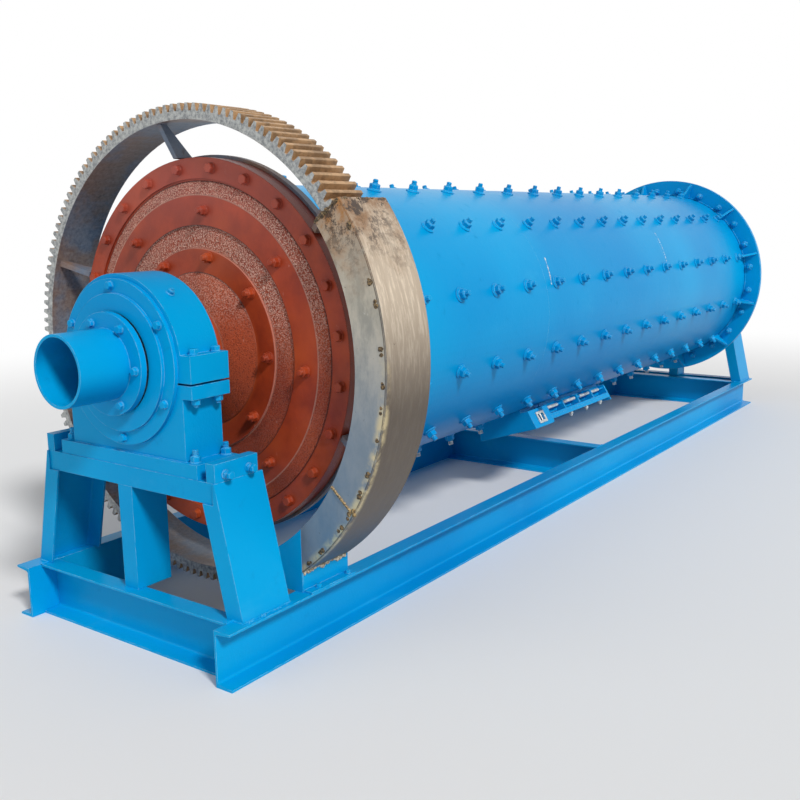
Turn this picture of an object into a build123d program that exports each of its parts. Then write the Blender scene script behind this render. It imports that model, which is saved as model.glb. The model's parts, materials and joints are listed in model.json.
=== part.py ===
"""Ball mill on a skid base, with its girth gear and half gear guard.

The mill axis runs along +X, the feed end is at -X and the discharge end at +X.
The floor is at z = 0, under the side rails, and the origin is on the underside
of the middle cross channel.  All sizes are in millimetres.
"""
from math import cos, pi, radians, sin, sqrt, tan
import os

from build123d import *

# Overall layout
DRUM_ROOM = 105.0
FEED_BEARING_X = -2812.0
SHELL_LENGTH = 4815.0
BEARING_REACH = 299.0

# Clearances
SEAT_GAP = 0.3
OVERRUN = 20.0

# Rolled channel section, laid three ways in the base and the pedestals
CHANNEL_DEPTH = 200.0
CHANNEL_FLANGE = 73.0
CHANNEL_WEB = 8.0
CHANNEL_LIP = 11.0
CHANNEL_ROOT_RADIUS = 10.0
LIP_TAPER_SHARE = 0.1

# Skid base
LEG_SPREAD = 56.0
FOOT_LAP = 49.0
GEAR_SIDE_ROOM = 60.0
FEED_OVERHANG = 93.0
FEED_CHANNEL_LEAD = 37.0
DISCHARGE_CHANNEL_LEAD = 46.0

# Bearing housings
BEARING_SEAT_DROP = 368.0
HOUSING_LENGTH = 172.0
HOUSING_DEPTH = 145.0
HOUSING_SIDE_STEP = 3.0
SPLIT_DROP = 50.0
SPLIT_GAP = 7.0
CAP_WALL = 30.0
LUG_REACH = 46.0
LUG_HEIGHT = 93.0
SOLE_LAP = 63.0
SOLE_LENGTH = 196.0
SOLE_PLATE = 50.0
COVER_STEP = 16.0
COVER_PLATE = 16.0
COVER_RING_STEP = 49.0
COVER_RING_PLATE = 12.0
COVER_CLEARANCE = 16.0
BUSH_WALL = 32.0
BUSH_LENGTH = 140.0
CHOCK_WIDTH = 40.0
CHOCK_HEIGHT = 65.0
CHOCK_GAP = 45.0

# Pedestals
LEG_DEPTH = 228.0
LEG_LEAD = 6.0
MIDDLE_LEG_DEPTH = 154.0
MIDDLE_LEG_Y = -25.0

# Trunnions and spouts
JOURNAL_RADIUS = 160.0
JOURNAL_CLEARANCE = 0.3
JOURNAL_WALL = 42.0
NECK_STEP = 26.0
NECK_GAP = 12.0
SPOUT_FLANGE_STEP = 19.0
SPOUT_FLANGE_PLATE = 24.0
SPOUT_FLANGE_GAP = 10.0
SPOUT_BORE_STEP = 4.0
SPOUT_WALL = 10.0
SPOUT_LENGTH = 196.0

# Shell
SHELL_RADIUS = 615.0
SHELL_WALL = 16.0
STRAKE_COUNT = 3
SHELL_FLANGE_PLATE = 30.0
DISCHARGE_FLANGE_WIDTH = 112.0
GUSSET_COUNT = 12
GUSSET_LENGTH = 120.0
GUSSET_PLATE = 14.0
GUSSET_MARGIN = 10.0
ROW_ANGLE = 15.0

# Drum heads, with the ring edges as shares of the way from neck to groove
HEAD_FLANGE_WIDTH = 90.0
HEAD_PLATE = 40.0
HEAD_STEP = 7.0
GROOVE_STEP = 7.0
GROOVE_WIDTH = 7.0
RING_A_OUTER_SHARE = 0.878
RING_A_INNER_SHARE = 0.633
RING_B_OUTER_SHARE = 0.436
RING_B_INNER_SHARE = 0.241
FLARE_LENGTH = 95.0
SPIGOT_DEPTH = 22.0

# Manhole, placed from the shell's middle
MANHOLE_OFFSET = 98.0
MANHOLE_ANGLE = 252.0
MANHOLE_LENGTH = 754.0
MANHOLE_WIDTH = 220.0
MANHOLE_WALL = 14.0
MANHOLE_SPREAD = 14.0
MANHOLE_RISE = 59.0
MANHOLE_FLANGE_PLATE = 14.0
MANHOLE_COVER_PLATE = 16.0
CROWN_GAP = 7.0
END_PLATE = 12.0
END_PLATE_LAP = 16.0
RIB_COUNT = 3
RIB_PLATE = 10.0
HINGE_BOX_LENGTH = 205.0
HINGE_BOX_HEIGHT = 108.0
HINGE_BOX_WINDOW = 52.0

# Girth gear
GEAR_FRONT = 77.0
GEAR_FACE = 190.0
GEAR_MODULE = 12.0
TOOTH_DEPTH_SHARE = 2.25
TIP_SHARE = 0.34
ROOT_SHARE = 0.72
RIM_WALL = 30.0
RIM_REACH = 115.0
HUB_RING_STEP = 11.0
HUB_RING_PLATE = 30.0
ARM_COUNT = 6
ARM_ANGLE = 22.0
ARM_PLATE = 22.0
ARM_FRONT_INSET = 20.0
ARM_SEAT = 30.0

# Gear guard
GUARD_FRONT_GAP = 10.0
GUARD_TIP_GAP = 31.0
GUARD_SHEET = 6.0
GUARD_BAND_WIDTH = 126.0
GUARD_WIDTH = 252.0
GUARD_START_ANGLE = 144.0
GUARD_LAST_ANGLE = 255.0
GUARD_EDGE_INSET = 34.0
GUARD_FOOT_LENGTH = 250.0
GUARD_FOOT_LEG = 45.0
GUARD_FOOT_PLATE = 7.0
GUARD_BASE_WIDTH = 130.0

# Angles of a turn
QUARTER_TURN = 90.0
FULL_TURN = 360.0


def half_chord(radius, drop):
    """Half width of a circle at a depth below its centre, zero beyond its edge."""
    return sqrt(max(radius ** 2 - drop ** 2, 0))


# Places along the mill and heights worked out from the driving sizes
FRAME_TOP = CHANNEL_DEPTH
MANHOLE_SEAT = SHELL_RADIUS + MANHOLE_RISE + MANHOLE_FLANGE_PLATE
MANHOLE_REACH = MANHOLE_SEAT + MANHOLE_COVER_PLATE + END_PLATE_LAP
AXIS_HEIGHT = FRAME_TOP + DRUM_ROOM + MANHOLE_REACH
HALF_CHANNEL = CHANNEL_DEPTH / 2
FEED_FACE_X = FEED_BEARING_X + BEARING_REACH
SHELL_START = FEED_FACE_X + HEAD_PLATE
SHELL_END = SHELL_START + SHELL_LENGTH
DISCHARGE_FACE_X = SHELL_END + HEAD_PLATE
DISCHARGE_BEARING_X = DISCHARGE_FACE_X + BEARING_REACH
DISCHARGE_CHANNEL_X = (DISCHARGE_BEARING_X - HALF_CHANNEL - DISCHARGE_CHANNEL_LEAD
                       + CHANNEL_FLANGE)
RAIL_START = FEED_BEARING_X - HALF_CHANNEL - FEED_OVERHANG
RAIL_END = DISCHARGE_BEARING_X + HALF_CHANNEL
MANHOLE_X = (SHELL_START + SHELL_END) / 2 + MANHOLE_OFFSET
GEAR_START = FEED_FACE_X - GEAR_FRONT
HUB_START = SHELL_START + SHELL_FLANGE_PLATE
GUARD_BACK_PLANE = GEAR_START - GUARD_FRONT_GAP

# Radii worked out from the driving sizes
TRUNNION_BORE = JOURNAL_RADIUS - JOURNAL_WALL
HOUSING_RADIUS = JOURNAL_RADIUS + HOUSING_DEPTH
NECK_RADIUS = JOURNAL_RADIUS + NECK_STEP
COVER_BORE = JOURNAL_RADIUS + COVER_CLEARANCE
COVER_RADIUS = HOUSING_RADIUS - COVER_STEP
COVER_RING_RADIUS = COVER_RADIUS - COVER_RING_STEP
SPOUT_FLANGE_RADIUS = JOURNAL_RADIUS + SPOUT_FLANGE_STEP
SPOUT_BORE = TRUNNION_BORE - SPOUT_BORE_STEP
SPOUT_RADIUS = SPOUT_BORE + SPOUT_WALL
HEAD_RADIUS = SHELL_RADIUS + HEAD_FLANGE_WIDTH
GROOVE_RADIUS = SHELL_RADIUS + GROOVE_STEP
DISCHARGE_FLANGE_RADIUS = SHELL_RADIUS + DISCHARGE_FLANGE_WIDTH
HUB_RING_RADIUS = HEAD_RADIUS + HUB_RING_STEP
RIM_BORE = HUB_RING_RADIUS + RIM_REACH
TOOTH_ROOT = RIM_BORE + RIM_WALL
TOOTH_TIP = TOOTH_ROOT + TOOTH_DEPTH_SHARE * GEAR_MODULE
GEAR_TEETH = round((TOOTH_TIP - GEAR_MODULE) * 2 / GEAR_MODULE)
GUARD_OUTER_RADIUS = TOOTH_TIP + GUARD_TIP_GAP + GUARD_SHEET
GUARD_INNER_RADIUS = GUARD_OUTER_RADIUS - GUARD_BAND_WIDTH

# Places across the mill worked out from the driving sizes
HOUSING_HALF_WIDTH = HOUSING_RADIUS - HOUSING_SIDE_STEP
SOLE_HALF_WIDTH = HOUSING_HALF_WIDTH + SOLE_LAP
PEDESTAL_TOP_Z = AXIS_HEIGHT - BEARING_SEAT_DROP
PEDESTAL_TOP_HALF = SOLE_HALF_WIDTH + CHOCK_GAP + CHOCK_WIDTH
WEB_INSIDE_Y = max(PEDESTAL_TOP_HALF + LEG_SPREAD,
                   half_chord(TOOTH_TIP, AXIS_HEIGHT - FRAME_TOP) + GEAR_SIDE_ROOM)
PEDESTAL_FOOT_HALF = WEB_INSIDE_Y + FOOT_LAP
GUARD_END_Y = WEB_INSIDE_Y + GUARD_EDGE_INSET
LEG_RISE = PEDESTAL_TOP_Z - FRAME_TOP
LEG_RUN = PEDESTAL_FOOT_HALF - PEDESTAL_TOP_HALF
LEG_LENGTH = sqrt(LEG_RISE ** 2 + LEG_RUN ** 2)
LEG_INSIDE_HALF = PEDESTAL_TOP_HALF - CHANNEL_WEB * LEG_LENGTH / LEG_RISE
BEAM_HALF = LEG_INSIDE_HALF - SEAT_GAP


def channel_section(depth):
    """Channel section: web along the Y axis, tapered flanges towards +X."""
    taper = LIP_TAPER_SHARE * (CHANNEL_FLANGE - CHANNEL_WEB) / 2
    tip = CHANNEL_LIP - taper
    root = CHANNEL_LIP + taper
    face = make_face(Polyline(
        (0, 0), (CHANNEL_FLANGE, 0), (CHANNEL_FLANGE, tip), (CHANNEL_WEB, root),
        (CHANNEL_WEB, depth - root), (CHANNEL_FLANGE, depth - tip),
        (CHANNEL_FLANGE, depth), (0, depth), close=True))
    roots = [v for v in face.vertices()
             if abs(v.X - CHANNEL_WEB) < SEAT_GAP and 0 < v.Y < depth]
    return fillet(roots, CHANNEL_ROOT_RADIUS)


def channel(plane, length, depth=CHANNEL_DEPTH):
    """Channel extruded from a plane whose X is the flange way and Y the depth."""
    return extrude(plane * channel_section(depth), length)


def box_between(low, high):
    """Box from its lowest to its highest corner."""
    size = [high[i] - low[i] for i in range(3)]
    return Pos(*low) * Box(*size, align=(Align.MIN, Align.MIN, Align.MIN))


def axial_ring(start, length, outer, inner):
    """Ring about the mill axis."""
    plane = Plane((start, 0, AXIS_HEIGHT), x_dir=(0, 1, 0), z_dir=(1, 0, 0))
    return extrude(plane * (Circle(outer) - Circle(inner)), length)


def axial_disc(start, length, radius):
    """Solid disc about the mill axis."""
    plane = Plane((start, 0, AXIS_HEIGHT), x_dir=(0, 1, 0), z_dir=(1, 0, 0))
    return extrude(plane * Circle(radius), length)


def turned(points):
    """Solid turned about the mill axis from (x, radius) points."""
    outline = Polyline(*[(x, AXIS_HEIGHT + r) for x, r in points], close=True)
    face = Plane.XZ * make_face(outline)
    return revolve(face, Axis((0, 0, AXIS_HEIGHT), (1, 0, 0)))


def around_axis(shape, angle):
    """Turns a shape about the mill axis; zero points towards +Y, 90 upwards."""
    return shape.rotate(Axis((0, 0, AXIS_HEIGHT), (1, 0, 0)), angle)


def at_discharge(shape):
    """Mirror image of a feed-end shape, at the discharge bearing."""
    middle = (FEED_BEARING_X + DISCHARGE_BEARING_X) / 2
    return mirror(shape, Plane((middle, 0, 0), z_dir=(1, 0, 0)))


# Skid base
def rail(side):
    """Side rail with its flanges turned outwards."""
    start_x = RAIL_START if side > 0 else RAIL_END
    plane = Plane((start_x, side * WEB_INSIDE_Y, 0), x_dir=(0, side, 0),
                  z_dir=(side, 0, 0))
    return channel(plane, RAIL_END - RAIL_START)


def cross_channel(web_x, way):
    """Channel between the rails; way is the side its flanges point to."""
    start_y = WEB_INSIDE_Y * way
    plane = Plane((web_x, start_y, 0), x_dir=(way, 0, 0), z_dir=(0, -way, 0))
    return channel(plane, WEB_INSIDE_Y * 2)


# Pedestals
def pedestal_top():
    """Channel laid flat across the legs, flanges down."""
    low_x = FEED_BEARING_X - HALF_CHANNEL
    plane = Plane((low_x, BEAM_HALF, PEDESTAL_TOP_Z), x_dir=(0, 0, -1), z_dir=(0, -1, 0))
    return channel(plane, BEAM_HALF * 2)


def sloped_leg(side):
    """Channel leg, web outside and flanges inwards, from the rail to the beam's top."""
    along = (0, -side * LEG_RUN / LEG_LENGTH, LEG_RISE / LEG_LENGTH)
    inwards = (0, -side * LEG_RISE / LEG_LENGTH, -LEG_RUN / LEG_LENGTH)
    low_x = FEED_BEARING_X - HALF_CHANNEL - LEG_LEAD
    high_x = low_x + LEG_DEPTH
    start_x = low_x if side > 0 else high_x
    foot = Plane((start_x, side * PEDESTAL_FOOT_HALF, FRAME_TOP), x_dir=inwards, z_dir=along)
    spare = CHANNEL_FLANGE + OVERRUN
    whole = channel(foot.offset(-spare), LEG_LENGTH + spare * 2, LEG_DEPTH)
    beam_low = PEDESTAL_TOP_Z - CHANNEL_FLANGE
    outer = side * (PEDESTAL_FOOT_HALF + CHANNEL_FLANGE)
    shank_y = sorted((0, outer))
    end_y = sorted((side * LEG_INSIDE_HALF, outer))
    shank = box_between((low_x, shank_y[0], FRAME_TOP), (high_x, shank_y[1], beam_low))
    end = box_between((low_x, end_y[0], beam_low - OVERRUN),
                      (high_x, end_y[1], PEDESTAL_TOP_Z))
    return (whole & shank) + (whole & end)


def middle_leg():
    """Upright channel leg, its web on the viewer's side."""
    back_x = FEED_BEARING_X - HALF_CHANNEL + MIDDLE_LEG_DEPTH
    plane = Plane((back_x, MIDDLE_LEG_Y, FRAME_TOP), x_dir=(0, 1, 0), z_dir=(0, 0, 1))
    return channel(plane, PEDESTAL_TOP_Z - CHANNEL_FLANGE - FRAME_TOP, MIDDLE_LEG_DEPTH)


def bearing_base():
    """Housing base: block with a bush seat and a sole plate bolted to the beam."""
    low_x = FEED_BEARING_X - HOUSING_LENGTH / 2
    sole_low = FEED_BEARING_X - SOLE_LENGTH / 2
    top = AXIS_HEIGHT - SPLIT_DROP - SPLIT_GAP
    sole_top = PEDESTAL_TOP_Z + SOLE_PLATE
    block = box_between((low_x, -HOUSING_HALF_WIDTH, sole_top),
                        (low_x + HOUSING_LENGTH, HOUSING_HALF_WIDTH, top))
    lugs = box_between((low_x, -HOUSING_HALF_WIDTH - LUG_REACH, top - LUG_HEIGHT / 2),
                       (low_x + HOUSING_LENGTH, HOUSING_HALF_WIDTH + LUG_REACH, top))
    sole = box_between((sole_low, -SOLE_HALF_WIDTH, PEDESTAL_TOP_Z),
                       (sole_low + SOLE_LENGTH, SOLE_HALF_WIDTH, sole_top))
    seat = axial_disc(low_x - OVERRUN, HOUSING_LENGTH + OVERRUN * 2,
                      HOUSING_RADIUS - CAP_WALL)
    bush_seat = JOURNAL_RADIUS + JOURNAL_CLEARANCE + BUSH_WALL + SEAT_GAP
    shelf = axial_ring(FEED_BEARING_X - BUSH_LENGTH / 2, BUSH_LENGTH,
                       HOUSING_RADIUS - CAP_WALL + SEAT_GAP, bush_seat)
    shelf = shelf & box_between(
        (low_x, -HOUSING_RADIUS, sole_top), (low_x + HOUSING_LENGTH, HOUSING_RADIUS, top))
    return (block + lugs + sole - seat) + shelf


def bearing_cap():
    """Housing cap: half cylinder over short straight sides, with lugs."""
    low_x = FEED_BEARING_X - HOUSING_LENGTH / 2
    split = AXIS_HEIGHT - SPLIT_DROP
    round_part = axial_disc(low_x, HOUSING_LENGTH, HOUSING_RADIUS)
    keep = box_between((low_x, -HOUSING_RADIUS, AXIS_HEIGHT),
                       (low_x + HOUSING_LENGTH, HOUSING_RADIUS, AXIS_HEIGHT + HOUSING_RADIUS))
    skirt = box_between((low_x, -HOUSING_RADIUS, split),
                        (low_x + HOUSING_LENGTH, HOUSING_RADIUS, AXIS_HEIGHT))
    lugs = box_between((low_x, -HOUSING_HALF_WIDTH - LUG_REACH, split),
                       (low_x + HOUSING_LENGTH, HOUSING_HALF_WIDTH + LUG_REACH,
                        split + LUG_HEIGHT))
    hollow = axial_disc(low_x - OVERRUN, HOUSING_LENGTH + OVERRUN * 2,
                        HOUSING_RADIUS - CAP_WALL)
    bush_seat = JOURNAL_RADIUS + JOURNAL_CLEARANCE + BUSH_WALL + SEAT_GAP
    shelf = axial_ring(FEED_BEARING_X - BUSH_LENGTH / 2, BUSH_LENGTH,
                       HOUSING_RADIUS - CAP_WALL + SEAT_GAP, bush_seat)
    above = box_between((low_x, -HOUSING_RADIUS, split),
                        (low_x + HOUSING_LENGTH, HOUSING_RADIUS,
                         AXIS_HEIGHT + HOUSING_RADIUS))
    return ((round_part & keep) + skirt + lugs - hollow) + (shelf & above)


def bearing_cover():
    """Outer end cover with its raised ring."""
    face_x = FEED_BEARING_X - HOUSING_LENGTH / 2
    plate = axial_ring(face_x - COVER_PLATE, COVER_PLATE, COVER_RADIUS, COVER_BORE)
    ring = axial_ring(face_x - COVER_PLATE - COVER_RING_PLATE, COVER_RING_PLATE,
                      COVER_RING_RADIUS, COVER_BORE)
    return plate + ring


def inner_cover():
    """Inner end cover, towards the drum."""
    face_x = FEED_BEARING_X + HOUSING_LENGTH / 2
    return axial_ring(face_x, COVER_PLATE, COVER_RADIUS, NECK_RADIUS + NECK_GAP)


def bearing_bush():
    """Plain bush that carries the journal."""
    inner = JOURNAL_RADIUS + JOURNAL_CLEARANCE
    return axial_ring(FEED_BEARING_X - BUSH_LENGTH / 2, BUSH_LENGTH, inner + BUSH_WALL,
                      inner)


def chocks():
    """Stop bars on the pedestal's ends, one beyond each end of the sole plate."""
    low_x = FEED_BEARING_X - HALF_CHANNEL
    near = SOLE_HALF_WIDTH + CHOCK_GAP
    blocks = []
    for side in (-1, 1):
        ys = sorted((side * near, side * (near + CHOCK_WIDTH)))
        blocks.append(box_between((low_x, ys[0], PEDESTAL_TOP_Z),
                                  (low_x + CHANNEL_DEPTH, ys[1],
                                   PEDESTAL_TOP_Z + CHOCK_HEIGHT)))
    return blocks


# Drum
def journal():
    """Hollow trunnion journal between the spout flange and the head's neck."""
    neck_end = FEED_BEARING_X + HOUSING_LENGTH / 2 + COVER_PLATE
    start = (FEED_BEARING_X - HOUSING_LENGTH / 2 - COVER_PLATE - COVER_RING_PLATE
             - SPOUT_FLANGE_GAP)
    return axial_ring(start, neck_end - start, JOURNAL_RADIUS, TRUNNION_BORE)


def spout():
    """Feed pipe with its bolted flange."""
    back = (FEED_BEARING_X - HOUSING_LENGTH / 2 - COVER_PLATE - COVER_RING_PLATE
            - SPOUT_FLANGE_GAP)
    flange = axial_ring(back - SPOUT_FLANGE_PLATE, SPOUT_FLANGE_PLATE,
                        SPOUT_FLANGE_RADIUS, SPOUT_BORE)
    pipe = axial_ring(back - SPOUT_FLANGE_PLATE - SPOUT_LENGTH, SPOUT_LENGTH,
                      SPOUT_RADIUS, SPOUT_BORE)
    return flange + pipe


def ring_edge(share):
    """Radius of a ring's edge on the head, between its neck and its groove."""
    return NECK_RADIUS + share * (GROOVE_RADIUS - NECK_RADIUS)


def head():
    """Cast head: bolting flange, two smooth rings between rough bands, and neck."""
    face = FEED_FACE_X
    back = face + HEAD_PLATE
    neck_end = FEED_BEARING_X + HOUSING_LENGTH / 2 + COVER_PLATE
    spigot = SHELL_RADIUS - SHELL_WALL - SEAT_GAP
    step = HEAD_STEP
    outer_a, inner_a = ring_edge(RING_A_OUTER_SHARE), ring_edge(RING_A_INNER_SHARE)
    outer_b, inner_b = ring_edge(RING_B_OUTER_SHARE), ring_edge(RING_B_INNER_SHARE)
    points = [
        (back, HEAD_RADIUS), (face, HEAD_RADIUS), (face, GROOVE_RADIUS + GROOVE_WIDTH),
        (face + step, GROOVE_RADIUS + GROOVE_WIDTH), (face + step, GROOVE_RADIUS),
        (face - step, outer_a), (face - step, inner_a), (face, inner_a - step),
        (face - step, outer_b), (face - step * 2, outer_b), (face - step * 2, inner_b),
        (face - FLARE_LENGTH, NECK_RADIUS), (neck_end, NECK_RADIUS),
        (neck_end, TRUNNION_BORE), (back + SPIGOT_DEPTH, TRUNNION_BORE),
        (back + SPIGOT_DEPTH, spigot), (back, spigot)]
    return turned(points)


def strake(index):
    """One rolled strake of the shell."""
    length = SHELL_LENGTH / STRAKE_COUNT
    return axial_ring(SHELL_START + index * length, length, SHELL_RADIUS,
                      SHELL_RADIUS - SHELL_WALL)


def feed_flange():
    """Shell flange at the feed end, between the head and the gear's hub ring."""
    return axial_ring(SHELL_START, SHELL_FLANGE_PLATE, HEAD_RADIUS,
                      SHELL_RADIUS + SEAT_GAP)


def discharge_flange():
    """Shell flange at the discharge end, with its gussets."""
    start = SHELL_END - SHELL_FLANGE_PLATE
    body = axial_ring(start, SHELL_FLANGE_PLATE, DISCHARGE_FLANGE_RADIUS,
                      SHELL_RADIUS + SEAT_GAP)
    tall = DISCHARGE_FLANGE_RADIUS - GUSSET_MARGIN
    low = SHELL_RADIUS + SEAT_GAP * 2
    outline = Polyline((start, AXIS_HEIGHT + low), (start, AXIS_HEIGHT + tall),
                       (start - GUSSET_PLATE, AXIS_HEIGHT + tall),
                       (start - GUSSET_LENGTH, AXIS_HEIGHT + low + GUSSET_PLATE),
                       (start - GUSSET_LENGTH, AXIS_HEIGHT + low), close=True)
    web = extrude(Plane((0, GUSSET_PLATE / 2, 0), x_dir=(1, 0, 0), z_dir=(0, -1, 0))
                  * make_face(outline), GUSSET_PLATE)
    for index in range(GUSSET_COUNT):
        body += around_axis(web, ROW_ANGLE + index * FULL_TURN / GUSSET_COUNT)
    return body


# Girth gear
def gear_outline():
    """Tooth outline as one closed line, in the sketch's own plane."""
    step = 2 * pi / GEAR_TEETH
    points = []
    for tooth in range(GEAR_TEETH):
        middle = tooth * step
        for radius, share, way in ((TOOTH_ROOT, ROOT_SHARE, -1), (TOOTH_TIP, TIP_SHARE, -1),
                                   (TOOTH_TIP, TIP_SHARE, 1), (TOOTH_ROOT, ROOT_SHARE, 1)):
            angle = middle + way * share * step / 2
            points.append((radius * cos(angle), radius * sin(angle)))
    return Polyline(*points, close=True)


def gear_rim():
    """Toothed rim of the girth gear."""
    plane = Plane((GEAR_START, 0, AXIS_HEIGHT), x_dir=(0, 1, 0), z_dir=(1, 0, 0))
    return extrude(plane * (make_face(gear_outline()) - Circle(RIM_BORE)), GEAR_FACE)


def gear_spider():
    """Hub ring and arms that carry the rim from the shell flange."""
    body = axial_ring(HUB_START, HUB_RING_PLATE, HUB_RING_RADIUS, SHELL_RADIUS + SEAT_GAP)
    inner = HUB_RING_RADIUS - HUB_RING_PLATE
    outer = sqrt((RIM_BORE - SEAT_GAP) ** 2 - (ARM_PLATE / 2) ** 2)
    front_low = HUB_START
    outline = Polyline(
        (front_low, AXIS_HEIGHT + inner),
        (front_low, AXIS_HEIGHT + HEAD_RADIUS + GROOVE_WIDTH),
        (FEED_FACE_X, AXIS_HEIGHT + HEAD_RADIUS + GROOVE_WIDTH),
        (GEAR_START + ARM_FRONT_INSET, AXIS_HEIGHT + outer),
        (GEAR_START + ARM_FRONT_INSET + ARM_SEAT, AXIS_HEIGHT + outer),
        (HUB_START + HUB_RING_PLATE, AXIS_HEIGHT + inner), close=True)
    arm = extrude(Plane((0, ARM_PLATE / 2, 0), x_dir=(1, 0, 0), z_dir=(0, -1, 0))
                  * make_face(outline), ARM_PLATE)
    for index in range(ARM_COUNT):
        body += around_axis(arm, ARM_ANGLE - QUARTER_TURN + index * FULL_TURN / ARM_COUNT)
    return body


# Gear guard
def sector(outer, inner, start, end):
    """Ring sector in the plane across the mill axis, angles from +Y upwards."""
    first, last = radians(start), radians(end)
    middle = (first + last) / 2

    def spot(radius, angle):
        return (radius * cos(angle), radius * sin(angle))

    outline = (Line(spot(inner, first), spot(outer, first))
               + ThreePointArc(spot(outer, first), spot(outer, middle), spot(outer, last))
               + Line(spot(outer, last), spot(inner, last))
               + ThreePointArc(spot(inner, last), spot(inner, middle), spot(inner, first)))
    return make_face(outline)


def past_guard_end():
    """Space beyond the guard's lower edge, which is cut away."""
    far = GUARD_OUTER_RADIUS + OVERRUN
    return box_between((GUARD_BACK_PLANE - GUARD_WIDTH, -GUARD_END_Y, AXIS_HEIGHT - far),
                       (GUARD_BACK_PLANE + GUARD_WIDTH, far, AXIS_HEIGHT))


def guard_plate():
    """Front sheet of the gear guard."""
    plane = Plane((GUARD_BACK_PLANE - GUARD_SHEET, 0, AXIS_HEIGHT), x_dir=(0, 1, 0),
                  z_dir=(1, 0, 0))
    sheet = extrude(plane * sector(GUARD_OUTER_RADIUS, GUARD_INNER_RADIUS,
                                   GUARD_START_ANGLE, GUARD_LAST_ANGLE), GUARD_SHEET)
    return sheet - past_guard_end()


def guard_hoop():
    """Rolled hoop of the gear guard, over the teeth."""
    plane = Plane((GUARD_BACK_PLANE, 0, AXIS_HEIGHT), x_dir=(0, 1, 0), z_dir=(1, 0, 0))
    hoop = extrude(plane * sector(GUARD_OUTER_RADIUS, GUARD_OUTER_RADIUS - GUARD_SHEET,
                                  GUARD_START_ANGLE, GUARD_LAST_ANGLE),
                   GUARD_WIDTH - GUARD_SHEET)
    return hoop - past_guard_end()


def guard_base():
    """Plate on the rail that closes the guard's front below its sheet."""
    plate = box_between((GUARD_BACK_PLANE - GUARD_SHEET, -GUARD_END_Y, FRAME_TOP),
                        (GUARD_BACK_PLANE, GUARD_BASE_WIDTH - GUARD_END_Y, AXIS_HEIGHT))
    return plate - axial_disc(GUARD_BACK_PLANE - GUARD_WIDTH, GUARD_WIDTH * 2,
                              GUARD_INNER_RADIUS)


def guard_foot():
    """Angle on the rail, under the hoop's lower end."""
    edge_z = AXIS_HEIGHT - half_chord(GUARD_OUTER_RADIUS, GUARD_END_Y)
    end_x = GUARD_BACK_PLANE + GUARD_FOOT_LENGTH
    inner_y = GUARD_FOOT_PLATE - GUARD_END_Y
    flat = box_between((GUARD_BACK_PLANE, inner_y - GUARD_FOOT_LEG, FRAME_TOP),
                       (end_x, inner_y, FRAME_TOP + GUARD_FOOT_PLATE))
    upright = box_between((GUARD_BACK_PLANE, -GUARD_END_Y, FRAME_TOP),
                          (end_x, inner_y, edge_z + GUARD_SHEET))
    return flat + upright


# Manhole
def manhole_place(shape):
    """Moves a shape drawn upright over the axis to the manhole."""
    return around_axis(shape, MANHOLE_ANGLE - QUARTER_TURN)


def manhole_block(half_x, half_y, low, high):
    """Block over the axis, centred on the manhole, between two heights above it."""
    return box_between((MANHOLE_X - half_x, -half_y, AXIS_HEIGHT + low),
                       (MANHOLE_X + half_x, half_y, AXIS_HEIGHT + high))


def manhole_slab(start, length, low, high):
    """Slab across the manhole between two heights, its sides pointing at the axis."""
    spread = tan(radians(MANHOLE_SPREAD))
    plane = Plane((start, 0, AXIS_HEIGHT), x_dir=(0, 1, 0), z_dir=(1, 0, 0))
    outline = Polyline((low * spread, low), (high * spread, high),
                       (-high * spread, high), (-low * spread, low), close=True)
    return extrude(plane * make_face(outline), length)


def manhole_hole(low, high):
    """Clear opening of the manhole."""
    return manhole_block(MANHOLE_LENGTH / 2 - MANHOLE_WALL, MANHOLE_WIDTH / 2 - MANHOLE_WALL,
                         low, high)


def manhole_frame():
    """Neck on the shell with its flange, end plates, ribs and hinge box."""
    half_x, half_y = MANHOLE_LENGTH / 2, MANHOLE_WIDTH / 2
    start = MANHOLE_X - half_x
    crown = SHELL_RADIUS + CROWN_GAP
    flange_low = MANHOLE_SEAT - MANHOLE_FLANGE_PLATE
    frame = manhole_block(half_x, half_y, 0, flange_low)
    frame += manhole_slab(start, MANHOLE_LENGTH, flange_low, MANHOLE_SEAT)
    for index in range(RIB_COUNT):
        middle = start + (index + 1) * MANHOLE_LENGTH / (RIB_COUNT + 1)
        frame += manhole_slab(middle - RIB_PLATE / 2, RIB_PLATE, crown, flange_low)
    frame -= manhole_hole(0, MANHOLE_REACH)
    for plate_start in (start - END_PLATE, start + MANHOLE_LENGTH):
        frame += manhole_slab(plate_start, END_PLATE, crown, MANHOLE_REACH)
    box_end = start - END_PLATE
    box_start = box_end - HINGE_BOX_LENGTH
    box_top = SHELL_RADIUS + HINGE_BOX_HEIGHT
    frame += box_between((box_start, -half_y, AXIS_HEIGHT),
                         (box_end, half_y, AXIS_HEIGHT + crown))
    hinge_box = manhole_slab(box_start, HINGE_BOX_LENGTH, crown, box_top)
    window_x = (box_start + box_end) / 2
    window_z = AXIS_HEIGHT + (crown + box_top - HINGE_BOX_WINDOW) / 2
    frame += hinge_box - box_between(
        (window_x - HINGE_BOX_WINDOW / 2, -box_top, window_z),
        (window_x + HINGE_BOX_WINDOW / 2, box_top, window_z + HINGE_BOX_WINDOW))
    shell = axial_disc(SHELL_START, SHELL_LENGTH, SHELL_RADIUS + SEAT_GAP)
    return manhole_place(frame - shell)


def manhole_cover():
    """Flat cover on the manhole's flange, between its end plates."""
    return manhole_place(manhole_slab(MANHOLE_X - MANHOLE_LENGTH / 2, MANHOLE_LENGTH,
                                      MANHOLE_SEAT, MANHOLE_SEAT + MANHOLE_COVER_PLATE))


def cut_shell(shape):
    """Cuts the manhole through a strake."""
    return shape - manhole_place(manhole_hole(0, SHELL_RADIUS + OVERRUN))


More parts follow.
